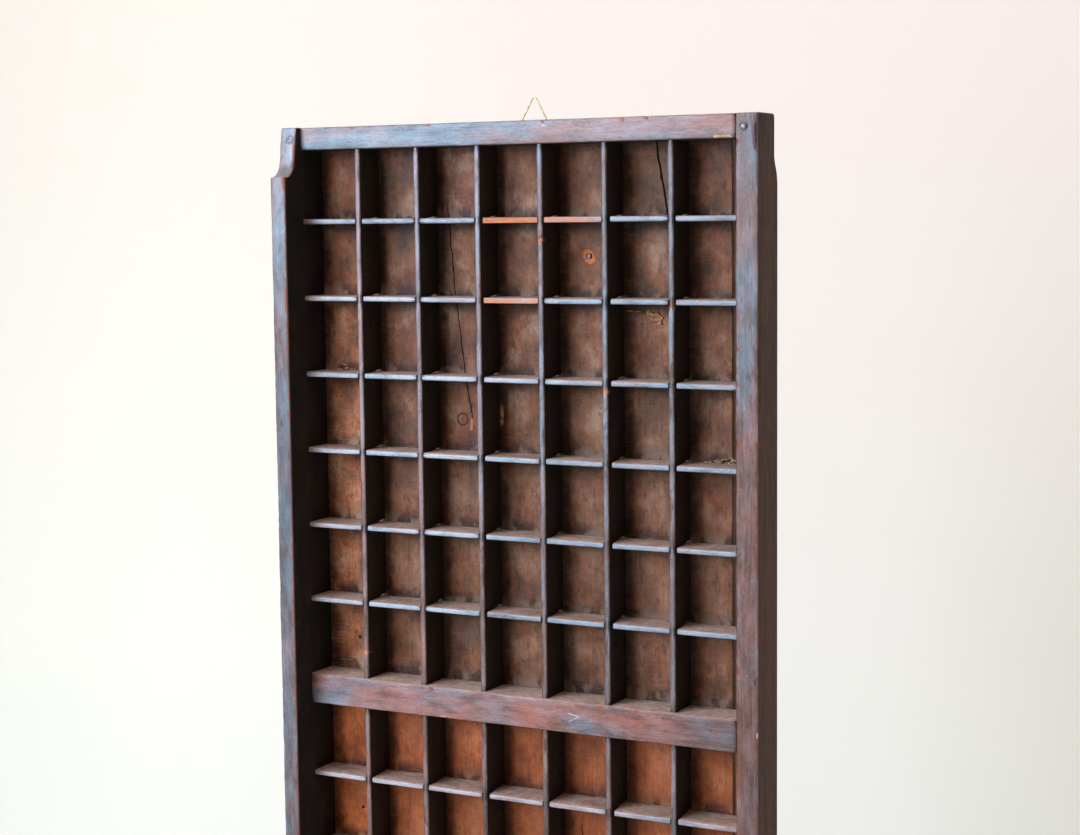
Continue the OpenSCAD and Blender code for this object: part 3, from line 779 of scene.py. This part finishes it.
def make_plank(node, upright, stations, material, seed, swell, sides, fronts, floor_shade_depth=0.0):
    """Sweeps the stations into one closed mesh, which takes the place of a CAD node. upright planks run up
    the case, the others across it. swell is how uneven the faces are, sides how many points a side face
    has, and the last argument how far painted shade reaches out from the floor along the side faces."""
    bm = bmesh.new()
    keys = ("wear", "raw", "painted_recess_shade", "bloom_and_sheen", "warmth", "shade")
    layers = [bm.verts.layers.float.new(key) for key in keys]
    grain = bm.verts.layers.float_vector.new("grain")
    shift = Vector((seed * 131.0, seed * 17.0, seed * 29.0))
    rings = []
    for s in stations:
        ring = []
        for t, d, nt, nd, worn, bare, side, dark in section(s, sides, fronts(s)):
            hollow = 0.0
            if nt or nd:
                hollow = swell * (0.5 + 0.5 * waver(s.u, t, d, 38.0, seed))
                hollow += swell * 0.35 * (0.5 + 0.5 * waver(s.u, t, d, 7.0, seed + 5.0))
            tt, dd = t - nt * hollow + s.shift * max(0.0, (d - FLOOR_T) / DIVIDER_D), d - nd * hollow
            vert = bm.verts.new(place(tt, dd, s.u) if upright else place(s.u, dd, tt))
            # Painted shade on side faces near the floor and near joints
            deep = fade(d - FLOOR_T, floor_shade_depth) if floor_shade_depth and side else 0.0
            painted_recess_shade = max(s.painted_recess_shade * (1.0 if side else 0.25), deep)
            for layer, value in zip(layers, (worn, bare, painted_recess_shade, s.bloom_and_sheen, s.warmth, dark)):
                vert[layer] = value
            vert[grain] = Vector((s.u, t, d)) + shift
            ring.append(vert)
        rings.append(ring)
    join(bm, rings, True)
    bm.faces.new(rings[0])
    bm.faces.new(rings[-1])
    bmesh.ops.remove_doubles(bm, verts=bm.verts, dist=1e-6)
    bmesh.ops.dissolve_degenerate(bm, edges=bm.edges, dist=1e-7)
    piece = finish_piece(bm, f"{node}_worn", material, PLANK_SHARP)
    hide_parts(node)
    return piece


def finish_piece(bm, name, material, sharp):
    """Turns a mesh into a piece that rides on the case; edges past sharp degrees stay sharp."""
    bmesh.ops.recalc_face_normals(bm, faces=bm.faces)
    piece = add_mesh(name, bm, material)
    piece.data.set_sharp_from_angle(angle=math.radians(sharp))
    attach(piece, CASE)
    return piece


def run(start, end, gap, extra=()):
    """Places along a plank: evenly spaced, with extra ones."""
    count = max(2, round((end - start) / gap))
    spots = {round(start + (end - start) * k / count, 3) for k in range(count + 1)}
    spots |= {round(e, 3) for e in extra if start < e < end}
    ordered = sorted(spots)
    kept = [ordered[0]]
    for spot in ordered[1:]:
        if spot - kept[-1] > 0.15 or spot in extra:
            kept.append(spot)
    return kept


def beside(places, *distances):
    """Places at these distances to both sides of each place."""
    return [v + side * distance for v in places for side in (-1, 1) for distance in distances]


def wear_arrises(s, seed, radius, spread, chips, cap, bare=1.0):
    """Gives a station its own arris radii, with chips now and then, whose bareness is bare."""
    for side in (0, 1):
        own = seed + 40 * side
        r = radius + spread * waver(s.u, 0, 0, 23.0, own) + spread * 0.6 * waver(s.u, 0, 0, 5.0, own + 3)
        chip = spike(s.u, 9.0, own + 11, 0.5) + 0.8 * spike(s.u, 3.4, own + 19, 0.58)
        setattr(s, f"r{side}", min(cap, max(0.35, r + chips * chip)))
        setattr(s, f"raw{side}", bare * min(1.0, chip * 2.2))


def dip(s, size, seed):
    """Broad hollows in a front."""
    return max(0.0, waver(s.u, 0, 0, size, seed))


def round_end(s, distance, radius):
    """Draws a station in near a free end, so that the end's edge is rubbed round."""
    if distance < radius:
        inset = radius - math.sqrt(max(0.0, radius * radius - (radius - distance) ** 2))
        s.t0 += inset
        s.t1 -= inset
        s.d1 -= inset
        s.d0 += inset * 0.6


# Frame


def from_end(z):
    return min(z, CASE_L - z)


def both_ends(lengths):
    return [v for a in lengths for v in (a, CASE_L - a)]


def tall_front(z):
    """Depth of the tall side's front at a height: toes at both ends, with a cove up to the full depth."""
    a = from_end(z)
    toe = FRAME_D + TOE_RISE
    if a <= TOE_LEN:
        return toe + TOE_SLOPE * a / TOE_LEN
    if a >= TOE_LEN + COVE_LEN:
        return TALL[3]
    turn = math.asin((a - TOE_LEN) / COVE_LEN)
    return toe + TOE_SLOPE + (TALL[3] - toe - TOE_SLOPE) * (1 - math.cos(turn))


def worn_back(z):
    """Depth of the wood worn off the plain side's outer back edge at its ends."""
    a = from_end(z)
    if a < WEAR_ROUND:
        return WEAR_D + WEAR_ROUND - math.sqrt(max(0.0, WEAR_ROUND ** 2 - (WEAR_ROUND - a) ** 2))
    if a < WEAR_LEN:
        return WEAR_D
    if a < WEAR_LEN + WEAR_RAMP:
        return WEAR_D * (1 + math.cos(math.pi * (a - WEAR_LEN) / WEAR_RAMP)) / 2
    return 0.0


def side_places(box, extra):
    """Heights of a side's stations, and the notch of its rebate at each."""
    rebate = (RAIL_W - REBATE_W, CASE_L - RAIL_W + REBATE_W)
    extra = extra + beside(rebate, STEP / 2) + both_ends((0.15, 0.4, 0.8, 1.3))
    for z in run(box[4] + TRIM, box[5] - TRIM, FRAME_GAP, extra):
        yield z, (REBATE_W, FLOOR_T) if rebate[0] < z < rebate[1] else (0.0, 0.0)


def make_tall_side(seed=3):
    cove = [TOE_LEN + COVE_LEN * math.sin(math.radians(a)) for a in (0, 15, 30, 45, 60, 70, 80, 86, 90)]
    stations = []
    for z, notch in side_places(TALL, both_ends(cove)):
        s = Station(z, TALL[0] + SKIN, TALL[1] - FIT, SKIN, tall_front(z) - SKIN, notch_hi=notch)
        wear_arrises(s, seed, 1.35, 0.55, 2.6, 4.0)
        # The lip of the tall part is rubbed more than the rest
        s.r1 = min(4.0, s.r1 + 1.1 * bell(from_end(z) - TOE_LEN - COVE_LEN, 9.0))
        s.d1 -= 0.35 * dip(s, 60.0, seed + 2)
        # Painted shade on the inner face; painted sheen on the front, strongest, with a painted highlight,
        # at the top end
        s.shade = (0.0, 1.0)
        s.bloom_and_sheen = along(z / CASE_L, (0.5, 0.5, 0.58, 0.62, 0.66, 0.46, 1.3))
        s.warmth = along(z / CASE_L, (0.4, 0.35, 0.2, 0.15, 0.15, 0.08, 0.32))
        s.raw1 = max(s.raw1, min(0.8, 0.57 + 0.5 * waver(z, 0, 0, 5.0, seed + 41)))
        round_end(s, from_end(z), END_ROUND)
        stations.append(s)
    make_plank("tall_side", True, stations, FRAME_WOOD, seed,
               swell=0.22, sides=7, fronts=flat_fronts(0.25, 0.5, 0.75))


def make_plain_side(seed=8):
    wall = PLAIN[1] - PLAIN[0] - REBATE_W - WEAR_WALL
    stations = []
    for z, notch in side_places(PLAIN, both_ends((1.9, 2.5, 3.1))):
        cut = worn_back(z)
        s = Station(z, PLAIN[0] + FIT, PLAIN[1] - SKIN, SKIN, FRAME_D - SKIN,
                    notch_lo=notch, notch_hi=(wall, cut) if cut > 0.03 else (0.0, 0.0))
        wear_arrises(s, seed, 1.3, 0.5, 2.4, 4.0)
        # A gouge in the outer front arris near the top
        gouge = bell(z - 811.0, 9.0) * (0.75 + 0.5 * waver(z, 0, 0, 3.0, seed))
        s.r1 = min(4.2, s.r1 + 2.4 * gouge)
        s.raw1 = min(1.0, s.raw1 + 0.45 * gouge)
        s.d1 -= 0.3 * dip(s, 70.0, seed + 2)
        # Painted shade on the inner face; painted sheen on the front
        s.shade = (1.0, 0.0)
        s.bloom_and_sheen = along(z / CASE_L, (0.4, 0.36, 0.36, 0.42, 0.6, 0.49, 0.5))
        s.warmth = along(z / CASE_L, (0.9, 0.85, 0.6, 0.45, 0.66, 0.36, 0.14))
        round_end(s, from_end(z), END_ROUND)
        stations.append(s)
    make_plank("plain_side", True, stations, FRAME_WOOD, seed,
               swell=0.2, sides=6, fronts=flat_fronts(0.2, 0.4, 0.6, 0.8))


def make_rail(node, seed, notch_lo, notch_hi, back, chips, bloom_and_sheens, warmths, shade=(0.0, 0.0)):
    """A rail or the bar, its ends drawn in a little where they meet the sides. chips are x, width, edge and
    size; the next two lists are the strength and the hue of the painted sheen on its front from the left
    end to the right, and the last is the painted shade on its lower and upper face."""
    box = room(node)
    extra = [X_LEFT + 0.25, X_LEFT + 0.6, X_RIGHT - 0.6, X_RIGHT - 0.25]
    stations = []
    for x in run(X_LEFT - 0.1, X_RIGHT + 0.1, FRAME_GAP, extra):
        s = Station(x, box[4] + (SKIN if notch_hi[0] else FIT), box[5] - (SKIN if notch_lo[0] else FIT),
                    back, FRAME_D - SKIN, notch_lo=notch_lo, notch_hi=notch_hi)
        wear_arrises(s, seed, 1.15, 0.45, 2.0, 3.6)
        for spot, width, edge, size in chips:
            bite = bell(x - spot, width) * (0.8 + 0.5 * waver(x, 0, 0, 2.5, seed + 9))
            setattr(s, f"r{edge}", min(4.4, getattr(s, f"r{edge}") + size * bite))
            setattr(s, f"raw{edge}", min(1.0, getattr(s, f"raw{edge}") + 1.2 * bite))
        near = min(x - X_LEFT, X_RIGHT - x)
        share = (x - X_LEFT) / (X_RIGHT - X_LEFT)
        s.bloom_and_sheen, s.warmth, s.shade = along(share, bloom_and_sheens), along(share, warmths), shade
        # Painted shade near the ends, where the rail meets the sides
        s.painted_recess_shade = fade(near, 2.2)
        s.d1 -= 0.25 * dip(s, 55.0, seed + 2)
        if near < 0.5:
            s.d1 -= 0.7 * (0.5 - near)
        stations.append(s)
    make_plank(node, False, stations, FRAME_WOOD, seed,
               swell=0.18, sides=5, fronts=flat_fronts(0.2, 0.4, 0.6, 0.8))


def make_frame():
    make_tall_side()
    make_plain_side()
    none, cut = (0.0, 0.0), (REBATE_W, FLOOR_T)
    # Painted sheen strength and hue along each rail, and painted shade under the top rail and the bar
    make_rail("top_rail", 14, cut, none, SKIN,
              [(159.0, 5.0, 0, 1.6), (27.5, 1.6, 1, 0.8), (86.0, 1.8, 1, 0.7)],
              (0.95, 0.85, 0.76, 0.8, 0.74), (0.12, 0.0, 0.3, 0.64, 0.7), (0.9, 0.0))
    make_rail("bottom_rail", 19, none, cut, SKIN, [(-60.0, 3.0, 1, 1.2), (120.0, 2.0, 0, 1.2)],
              (0.45, 0.4, 0.4, 0.35, 0.35), (0.6, 0.8, 0.85, 0.9, 0.7))
    make_rail("mid_bar", 25, none, none, FLOOR_T, [(-58.0, 2.2, 0, 1.2), (95.0, 2.5, 1, 0.8)],
              (0.8, 1.05, 0.92, 0.7, 0.34), (0.5, 0.5, 0.7, 0.66, 0.28), (0.9, 0.0))


# Dividers

# Rubbed or broken places on the fronts of long dividers: node, height, length, depth
RUBBED = [
    ("upper_long_divider_6", 699.4, 3.5, 0.9),
    ("upper_long_divider_5", 639.9, 2.0, 0.8),
    ("upper_long_divider_4", 742.8, 1.0, 0.4),
    ("upper_long_divider_1", 443.1, 1.2, 0.5),
    ("lower_long_divider_3", 212.0, 3.0, 0.8),
]
# Fronts of cross dividers that are split off raw: half, divider, column from the left, depth lost, bareness
RAW_FRONTS = [("upper", 1, 4, 1.3, 1.0), ("upper", 1, 5, 0.8, 0.63), ("upper", 2, 4, 1.0, 0.58),
              ("lower", 4, 3, 0.9, 0.7)]


def joint_distance(u, joints):
    return min(abs(u - j) for j in joints)


# Painted shade on a divider's faces near the joints it meets
def joint_shade(u, joints, thick):
    return 0.85 * fade(joint_distance(u, joints) - thick / 2, 2.6)


def divider_places(low, high, joints, thick, extra=()):
    """Places along a divider, and whether each lies inside a halved joint with a divider that thick."""
    half = thick / 2 + SLOT
    extra = [*extra, *beside(beside(joints, half), STEP / 2), low + 0.5, high - 0.5]
    for u in run(low, high, DIVIDER_GAP, extra):
        yield u, joint_distance(u, joints) < half


def make_divider(node, upright, stations, seed):
    make_plank(node, upright, stations, DIVIDER_WOOD, seed,
               swell=0.06, sides=4, fronts=flat_fronts(0.33, 0.67), floor_shade_depth=6.0)


def make_long_divider(half, i):
    """Runs on in front at each crossing, with its back half slotted over the cross dividers."""
    node = f"{half}_long_divider_{i}"
    upper = half == "upper"
    seed = 31 + 7 * i + (0 if upper else 60)
    box = room(node)
    low, high = HALF_Z[half][0] - REACH, HALF_Z[half][1] + REACH
    rubbed = [r[1:] for r in RUBBED if r[0] == node]
    stations = []
    bow = chance.uniform(-0.35, 0.35)
    for z, inside in divider_places(low, high, CROSS_Z[half], CROSS_T, [r[0] for r in rubbed]):
        s = Station(z, box[0] + TRIM, box[1] - TRIM, LAP + SLOT if inside else FLOOR_T, DIVIDER_D - 0.1)
        wear_arrises(s, seed, 1.35, 0.12, 0.9, 1.8, 0.35)
        s.d1 -= 0.35 * dip(s, 26.0, seed + 5) + 0.8 * spike(z, 6.0, seed + 7, 0.5)
        rise = (z - low) / (high - low)
        s.shift = bow * math.sin(math.pi * rise) + 0.22 * waver(z, 0, 0, 70.0, seed + 13)
        s.painted_recess_shade = joint_shade(z, CROSS_Z[half] + [low, high], CROSS_T)
        # Painted shade on both side faces; painted sheen on the front, weaker towards the top in the
        # right-hand columns
        s.shade = (0.85, 0.8)
        if upper:
            s.bloom_and_sheen = along(rise, (0.52, 0.55, 0.76, 0.68, 0.73)) - 0.02 * (i - 3)
            s.bloom_and_sheen -= 0.32 * rise ** 3 * min(1.0, max(0.0, (i - 3) / 2))
            s.warmth = 0.95 - 0.13 * i - 0.25 * rise
        else:
            s.bloom_and_sheen, s.warmth = 0.5, 0.9 - 0.08 * i
        for spot, width, size in rubbed:
            bite = bell(z - spot, width)
            s.d1 -= size * bite
            s.r1 = min(1.8, s.r1 + size * bite)
            s.raw1 = s.raw_front = min(1.0, s.raw_front + bite)
        stations.append(s)
    make_divider(node, True, stations, seed)


def column_span(column):
    edges = [X_LEFT] + [v for x in LONG_X for v in (x - LONG_T / 2, x + LONG_T / 2)] + [X_RIGHT]
    return edges[2 * column - 2], edges[2 * column - 1]


def make_cross_divider(half, j):
    """Slotted from the front where the long dividers run on."""
    node = f"{half}_cross_divider_{j}"
    seed = 171 + 9 * j + (70 if half == "lower" else 0)
    box = room(node)
    low, high = X_LEFT - REACH, X_RIGHT + REACH
    split = [(*column_span(c), lost, bare) for h, d, c, lost, bare in RAW_FRONTS if (h, d) == (half, j)]
    sag = [chance.uniform(-0.22, 0.1) for _ in range(COLUMNS)]
    stations = []
    for x, inside in divider_places(low, high, LONG_X, LONG_T):
        s = Station(x, box[4] + TRIM, box[5] - TRIM, FLOOR_T, LAP - SLOT if inside else DIVIDER_D - 0.15)
        wear_arrises(s, seed, 1.15, 0.12, 0.9, 1.6, 0.35)
        column = sum(x > v for v in LONG_X)
        if inside:
            s.r0 = s.r1 = 0.4
            s.raw0 = s.raw1 = 0.0
        else:
            s.d1 -= 0.4 * dip(s, 24.0, seed + 5) + 0.9 * spike(x, 5.0, seed + 7, 0.5)
            s.d1 += sag[column] * 0.5 - 0.11
            for a, b, lost, bare in split:
                if a - 1 < x < b + 1:
                    s.d1 -= lost * (0.75 + 0.6 * waver(x, 0, 0, 4.0, seed + 31))
                    s.raw_front = bare
                    s.raw0 = s.raw1 = 0.9 * bare
                    s.r0 = s.r1 = 0.5
        s.shift = sag[column] * 0.8
        s.painted_recess_shade = joint_shade(x, LONG_X + [low - LONG_T / 2, high + LONG_T / 2], LONG_T)
        # Painted shade on the under face and a little on the top; painted sheen with a painted highlight on
        # the front, mostly brighter to the left
        s.shade = (0.9, 0.25)
        share = (x - X_LEFT) / (X_RIGHT - X_LEFT)
        if half == "lower":
            s.bloom_and_sheen, s.warmth = 1.5 + 0.6 * (1 - share), 0.55
        else:
            s.bloom_and_sheen = 1.25 + (0.8 * (1 - share) if j > 1 else 0.0)
            s.warmth = 0.05 + 0.7 * math.exp(-(x - X_LEFT) / 8)
        s.bloom_and_sheen -= 0.7 * s.raw_front
        stations.append(s)
    make_divider(node, False, stations, seed)


def make_dividers():
    for half in HALVES:
        for k in range(1, COLUMNS):
            make_long_divider(half, k)
        for k in range(1, ROWS):
            make_cross_divider(half, k)


# Floor

# Splits in the floor: points as x and z from the top down, how deep they go and half their width
CRACKS = {
    "upper_floor_board": [
        ([(99.0, 814.0), (99.4, 806.0), (102.6, 786.0), (107.3, 760.0), (108.6, 750.0)], 3.0, 0.6),
        ([(-65.0, 772.0), (-64.4, 767.6), (-59.1, 704.9), (-51.7, 646.3), (-44.9, 608.0)], 2.4, 0.34),
    ],
    "lower_floor_board": [([(38.0, 332.0), (41.0, 287.0), (40.0, 232.0)], 2.2, 0.45)],
}
TACK_HOLE_R = 4.6


def crack_at(points, z):
    """Where a split runs at a height, and how open it is there."""
    if z >= points[0][1]:
        return points[0][0], 0.0
    for (x0, z0), (x1, z1) in zip(points, points[1:]):
        if z >= z1:
            share = (z0 - z) / (z0 - z1)
            open_share = min(1.0, (points[0][1] - z) / 10.0, (z - points[-1][1]) / 14.0)
            return x0 + (x1 - x0) * share, open_share
    return points[-1][0], 0.0


def make_floor(node, material, seed):
    """One floor board, with its splits and the torn place round the tack as real hollows."""
    box = room(node)
    tack_x, tack_z = middle("floor_tack", 0), middle("floor_tack", 2)
    cracks = CRACKS.get(node, [])
    torn = box[0] < tack_x < box[1] and box[4] < tack_z < box[5]
    torn_at = beside([tack_x], 1.9, 2.8, 4.0, 5.4) if torn else []
    plain = [t for t in run(box[0] + 6.0, box[1] - (4.0 if box[1] - box[0] < 30 else 6.0), 6.5)
             if all(abs(t - v) > 1.6 for v in torn_at)]

    def fronts(s):
        spots = [(t, 0.0) for t in torn_at]
        lines = []
        for k, (points, deep, half_wide) in enumerate(cracks):
            x, share = crack_at(points, s.u)
            x += 0.7 * waver(s.u, 0, 0, 7.0, seed + k)
            wide = half_wide * (0.35 + 0.9 * share)
            cut = deep * share
            lines.append((x, wide))
            spots += [(x - wide, 0.0), (x - wide * 0.35, cut), (x + wide * 0.35, cut), (x + wide, 0.0)]
        for t in plain:
            for x, wide in lines:
                if abs(t - x) < wide + 0.6:
                    t = x + (wide + 0.6) * (1 if t > x else -1)
            spots.append((t, 0.0))
        spots.sort(reverse=True)
        out = []
        for t, drop in spots:
            if torn:
                away = math.hypot(t - tack_x, s.u - tack_z)
                edge = TACK_HOLE_R * (1 + 0.45 * waver(t, s.u, 0, 3.0, seed))
                drop += 1.1 * max(0.0, 1 - (away / edge) ** 2) if away < edge else 0.0
            out.append((t, drop))
        return out

    extra = beside([tack_z], 0.0, 1.0, 2.1, 3.1, 4.2, 5.4) if torn else []
    stations = []
    for z in run(box[4] + TRIM, box[5] - TRIM, FLOOR_GAP, extra):
        s = Station(z, box[0] + TRIM, box[1] - TRIM, SKIN, FLOOR_T - 0.1)
        s.r0 = s.r1 = 0.6 + 0.25 * waver(z, 0, 0, 12.0, seed)
        stations.append(s)
    piece = make_plank(node, True, stations, material, seed, swell=0.22, sides=1, fronts=fronts)
    layers = piece.data.attributes
    for k, v in enumerate(piece.data.vertices):
        x, z = v.co.x / MM + HANG_X, v.co.z / MM + HANG_Z
        depth = -v.co.y / MM - HANG_Y
        fallen = FLOOR_T - 0.45 - depth
        away = math.hypot(x - tack_x, z - tack_z)
        # The torn place round the tack is bare wood, with painted shade in the tack's hole; other hollows
        # get painted shade
        if torn and away < 6.5 and depth > 3:
            layers["raw"].data[k].value = min(1.0, max(0.0, fallen / 0.25))
            layers["painted_recess_shade"].data[k].value = min(1.0, max(0.0, (3.1 - away) / 0.9))
        elif 0 < fallen and depth > 1.5 and box[0] + 2 < x < box[1] - 2:
            layers["painted_recess_shade"].data[k].value = min(1.0, fallen / 0.8)


def make_floors():
    for half, material in (("upper", UPPER_FLOOR), ("lower", LOWER_FLOOR)):
        for part, seed in (("board", 301), ("strip", 312)):
            seed += 23 if half == "lower" else 0
            make_floor(f"{half}_floor_{part}", material, seed)


# Crumbs and splinters


def add_crumb(bm, x, depth, z, size):
    """A rough crumb, flatter than it is wide."""
    squash = size * 0.6
    turn = chance.uniform(0, math.tau)
    c, n = math.cos(turn), math.sin(turn)
    for v in bmesh.ops.create_icosphere(bm, subdivisions=1, radius=1.0)["verts"]:
        rough = 1 + chance.uniform(-0.22, 0.22)
        a, b = v.co.x * size * rough, v.co.y * size * rough * chance.uniform(0.8, 1)
        v.co = place(x + a * c - b * n, depth + a * n + b * c, z + v.co.z * squash * rough)


def make_crumbs():
    """Crumbs on every shelf, and two heaps of broken bits against the floor boards."""
    bm = bmesh.new()
    tops = [z + CROSS_T / 2 for h in HALVES for z in CROSS_Z[h]] + [BAR[5], RAIL_W]
    for top in tops:
        for column in range(1, COLUMNS + 1):
            a, b = column_span(column)
            for _ in range(chance.randint(1, 5)):
                size = chance.uniform(0.22, 0.62)
                depth = FLOOR_T + 0.2 + size + abs(chance.gauss(0, 2.2))
                x = chance.uniform(a + 1.5, b - 1.5)
                add_crumb(bm, x, depth, top - 0.1 + size * 0.3, size)
    # Each heap: middle, the cross divider it lies on, count, half width, height
    for x, divider, count, spread, tall in ((-152.0, 3, 60, 8.0, 2.2), (149.0, 4, 130, 14.0, 4.2)):
        top = CROSS_Z["upper"][divider - 1] + CROSS_T / 2
        for _ in range(count):
            share = chance.uniform(-1.0, 1.0)
            level = chance.random() ** 1.5
            size = chance.uniform(0.45, 1.15)
            depth = FLOOR_T + 0.1 + size * 0.6 + (1.0 - level) * abs(chance.gauss(0, 2.2))
            where = min(X_RIGHT - 2, max(X_LEFT + 2, x + spread * share))
            lift = tall * level * (1.0 - share * share) * (0.8 + 0.3 * share)
            add_crumb(bm, where, depth, top - 0.1 + size * 0.3 + lift, size)
    finish_piece(bm, "box_crumbs", CRUMB, 60)


def add_splinter(bm, outline, depth, thick, lift):
    """A torn flake: an uneven outline on the floor with steep sides and a top in rough steps."""
    rings = [[bm.verts.new(place(x, depth - 0.25, z)) for x, z in outline]]
    count = len(outline)
    cx, cz = sum(p[0] for p in outline) / count, sum(p[1] for p in outline) / count
    for size, level in ((0.94, 0.55), (0.72, 1.0), (0.4, 0.7)):
        ring = []
        for x, z in outline:
            d = depth + thick * level * chance.uniform(0.6, 1.25) + lift * (x - cx) / 6
            ring.append(bm.verts.new(place(cx + (x - cx) * size, d, cz + (z - cz) * size)))
        rings.append(ring)
    top = bm.verts.new(place(cx, depth + thick * 1.1, cz))
    for k in range(count):
        n = (k + 1) % count
        for low, high in zip(rings, rings[1:]):
            bm.faces.new((low[k], low[n], high[n], high[k]))
        bm.faces.new((rings[-1][k], rings[-1][n], top))
    bm.faces.new(rings[0])


def torn_outline(x0, z0, x1, z1, wide, steps=9):
    """A ragged lens between two points."""
    way = Vector((x1 - x0, z1 - z0))
    side = Vector((-way.y, way.x)).normalized()
    out = []
    for sign, order in ((1, range(steps + 1)), (-1, range(steps - 1, 0, -1))):
        for k in order:
            share = k / steps
            belly = wide / 2 * math.sin(math.pi * share) ** 0.6 * chance.uniform(0.65, 1.25)
            p = Vector((x0, z0)) + way * share + side * belly * sign
            out.append((p.x, p.y))
    return out


# Torn flakes on the floor: x, z, x, z, width, thickness
SPLINTERS = [
    (91.8, 693.6, 103.6, 684.4, 6.4, 1.3),
    (96.2, 693.0, 104.4, 688.2, 3.2, 1.0),
    (88.8, 693.4, 74.0, 693.9, 1.3, 0.5),
    (-22.2, 624.6, -22.6, 611.6, 3.8, 1.0),
    (-161.0, 653.8, -150.5, 650.6, 2.6, 0.8),
    (-158.0, 656.6, -151.0, 652.2, 1.6, 0.7),
    (137.0, 592.4, 152.0, 591.6, 1.6, 0.8),
]


def make_splinters():
    bm = bmesh.new()
    for *ends_and_width, thick in SPLINTERS:
        add_splinter(bm, torn_outline(*ends_and_width), FLOOR_T - 0.1, thick, 0.12)
    finish_piece(bm, "floor_splinters", TORN, 50)


# Carried-over nodes


def dress_nodes():
    """Nails, brads, the tack and the hanger keep their CAD shapes and get their metals."""
    for name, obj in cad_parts.items():
        if obj.hide_render:
            continue
        if not obj.material_slots:
            obj.data.materials.append(None)
        for own in obj.material_slots:
            own.link = "OBJECT"
            own.material = BRASS if name.startswith("hanger") else STEEL


# Studio

WALL_Y, GROUND_Z, SWEEP_R = 1.0, -1.25, 0.6
SWEEP_STEPS = 16


def make_studio():
    profile = [(-6.0, GROUND_Z)]
    for k in range(SWEEP_STEPS + 1):
        a = math.pi / 2 * k / SWEEP_STEPS
        y = WALL_Y - SWEEP_R + SWEEP_R * math.sin(a)
        profile.append((y, GROUND_Z + SWEEP_R - SWEEP_R * math.cos(a)))
    profile += [(WALL_Y, 1.2), (WALL_Y, 4.0)]
    bm = bmesh.new()
    join(bm, [[bm.verts.new((x, y, z)) for x in (-6.0, -2.0, 2.0, 6.0)] for y, z in profile], False)
    # Painted light on the backdrop: lighter to the left and warmer high up, with a faint glow of its own
    material, g, shader = start_material("studio_paper", Roughness=0.9, Specular_IOR_Level=0.1,
                                         Emission_Strength=0.12)
    geometry = g.node("NewGeometry").outputs
    place_x, _, place_z = g.parts(geometry["Position"])
    high = g.rise(place_z, -0.9, 0.2)
    left = g.mix(high, srgb(255, 253, 241), srgb(254, 244, 230))
    right = g.mix(high, srgb(240, 237, 227), srgb(247, 233, 223))
    tone = g.mix(g.rise(place_x, -1.2, -0.45), left, right)
    g.put(shader.inputs["Base Color"], tone)
    g.put(shader.inputs["Emission Color"], tone)
    clear = g.node("BsdfTransparent").outputs[0]
    both = g.node("MixShader", {0: geometry["Backfacing"], 1: shader.outputs[0], 2: clear}).outputs[0]
    g.put(g.tree.nodes["Material Output"].inputs["Surface"], both)
    sweep = add_mesh("studio_sweep", bm, material)


def soft_light(name, where, width, height, watts, tone):
    """A soft lamp that shines on the middle of the case."""
    data = bpy.data.lights.new(name, "AREA")
    data.shape = "RECTANGLE"
    data.size, data.size_y = width, height
    data.energy = watts
    data.color = tone[:3]
    light = add_object(name, data)
    light.location = where
    look_along(light, Vector((0.0, 0.0, -0.40)) - Vector(where))
    light.visible_camera = False


def make_lights():
    soft_light("window_light", (-0.98, -1.75, 0.38), 1.25, 1.35, 50.0, srgb(216, 230, 252))
    soft_light("overhead_light", (-0.2, -0.7, 1.5), 1.2, 0.8, 14.0, srgb(255, 250, 244))
    world = bpy.data.worlds.new("studio_air")
    world.use_nodes = True
    g = Graph(world.node_tree)
    way = g.parts(g.node("TexCoord").outputs["Generated"])
    # The room is darker to the right, where nothing throws light back
    fill = g.rise(way[0], -0.5, 0.6, 0.42, 0.06)
    seen = g.node("LightPath").outputs["Is Camera Ray"]
    air = world.node_tree.nodes["Background"]
    air.inputs[0].default_value = srgb(246, 245, 243)
    g.put(air.inputs[1], g.most(fill, g.times(seen, 0.95)))
    bpy.context.scene.world = world
    bpy.context.scene.view_settings.view_transform = "Standard"


make_camera()
make_frame()
make_dividers()
make_floors()
make_crumbs()
make_splinters()
dress_nodes()
make_studio()
make_lights()
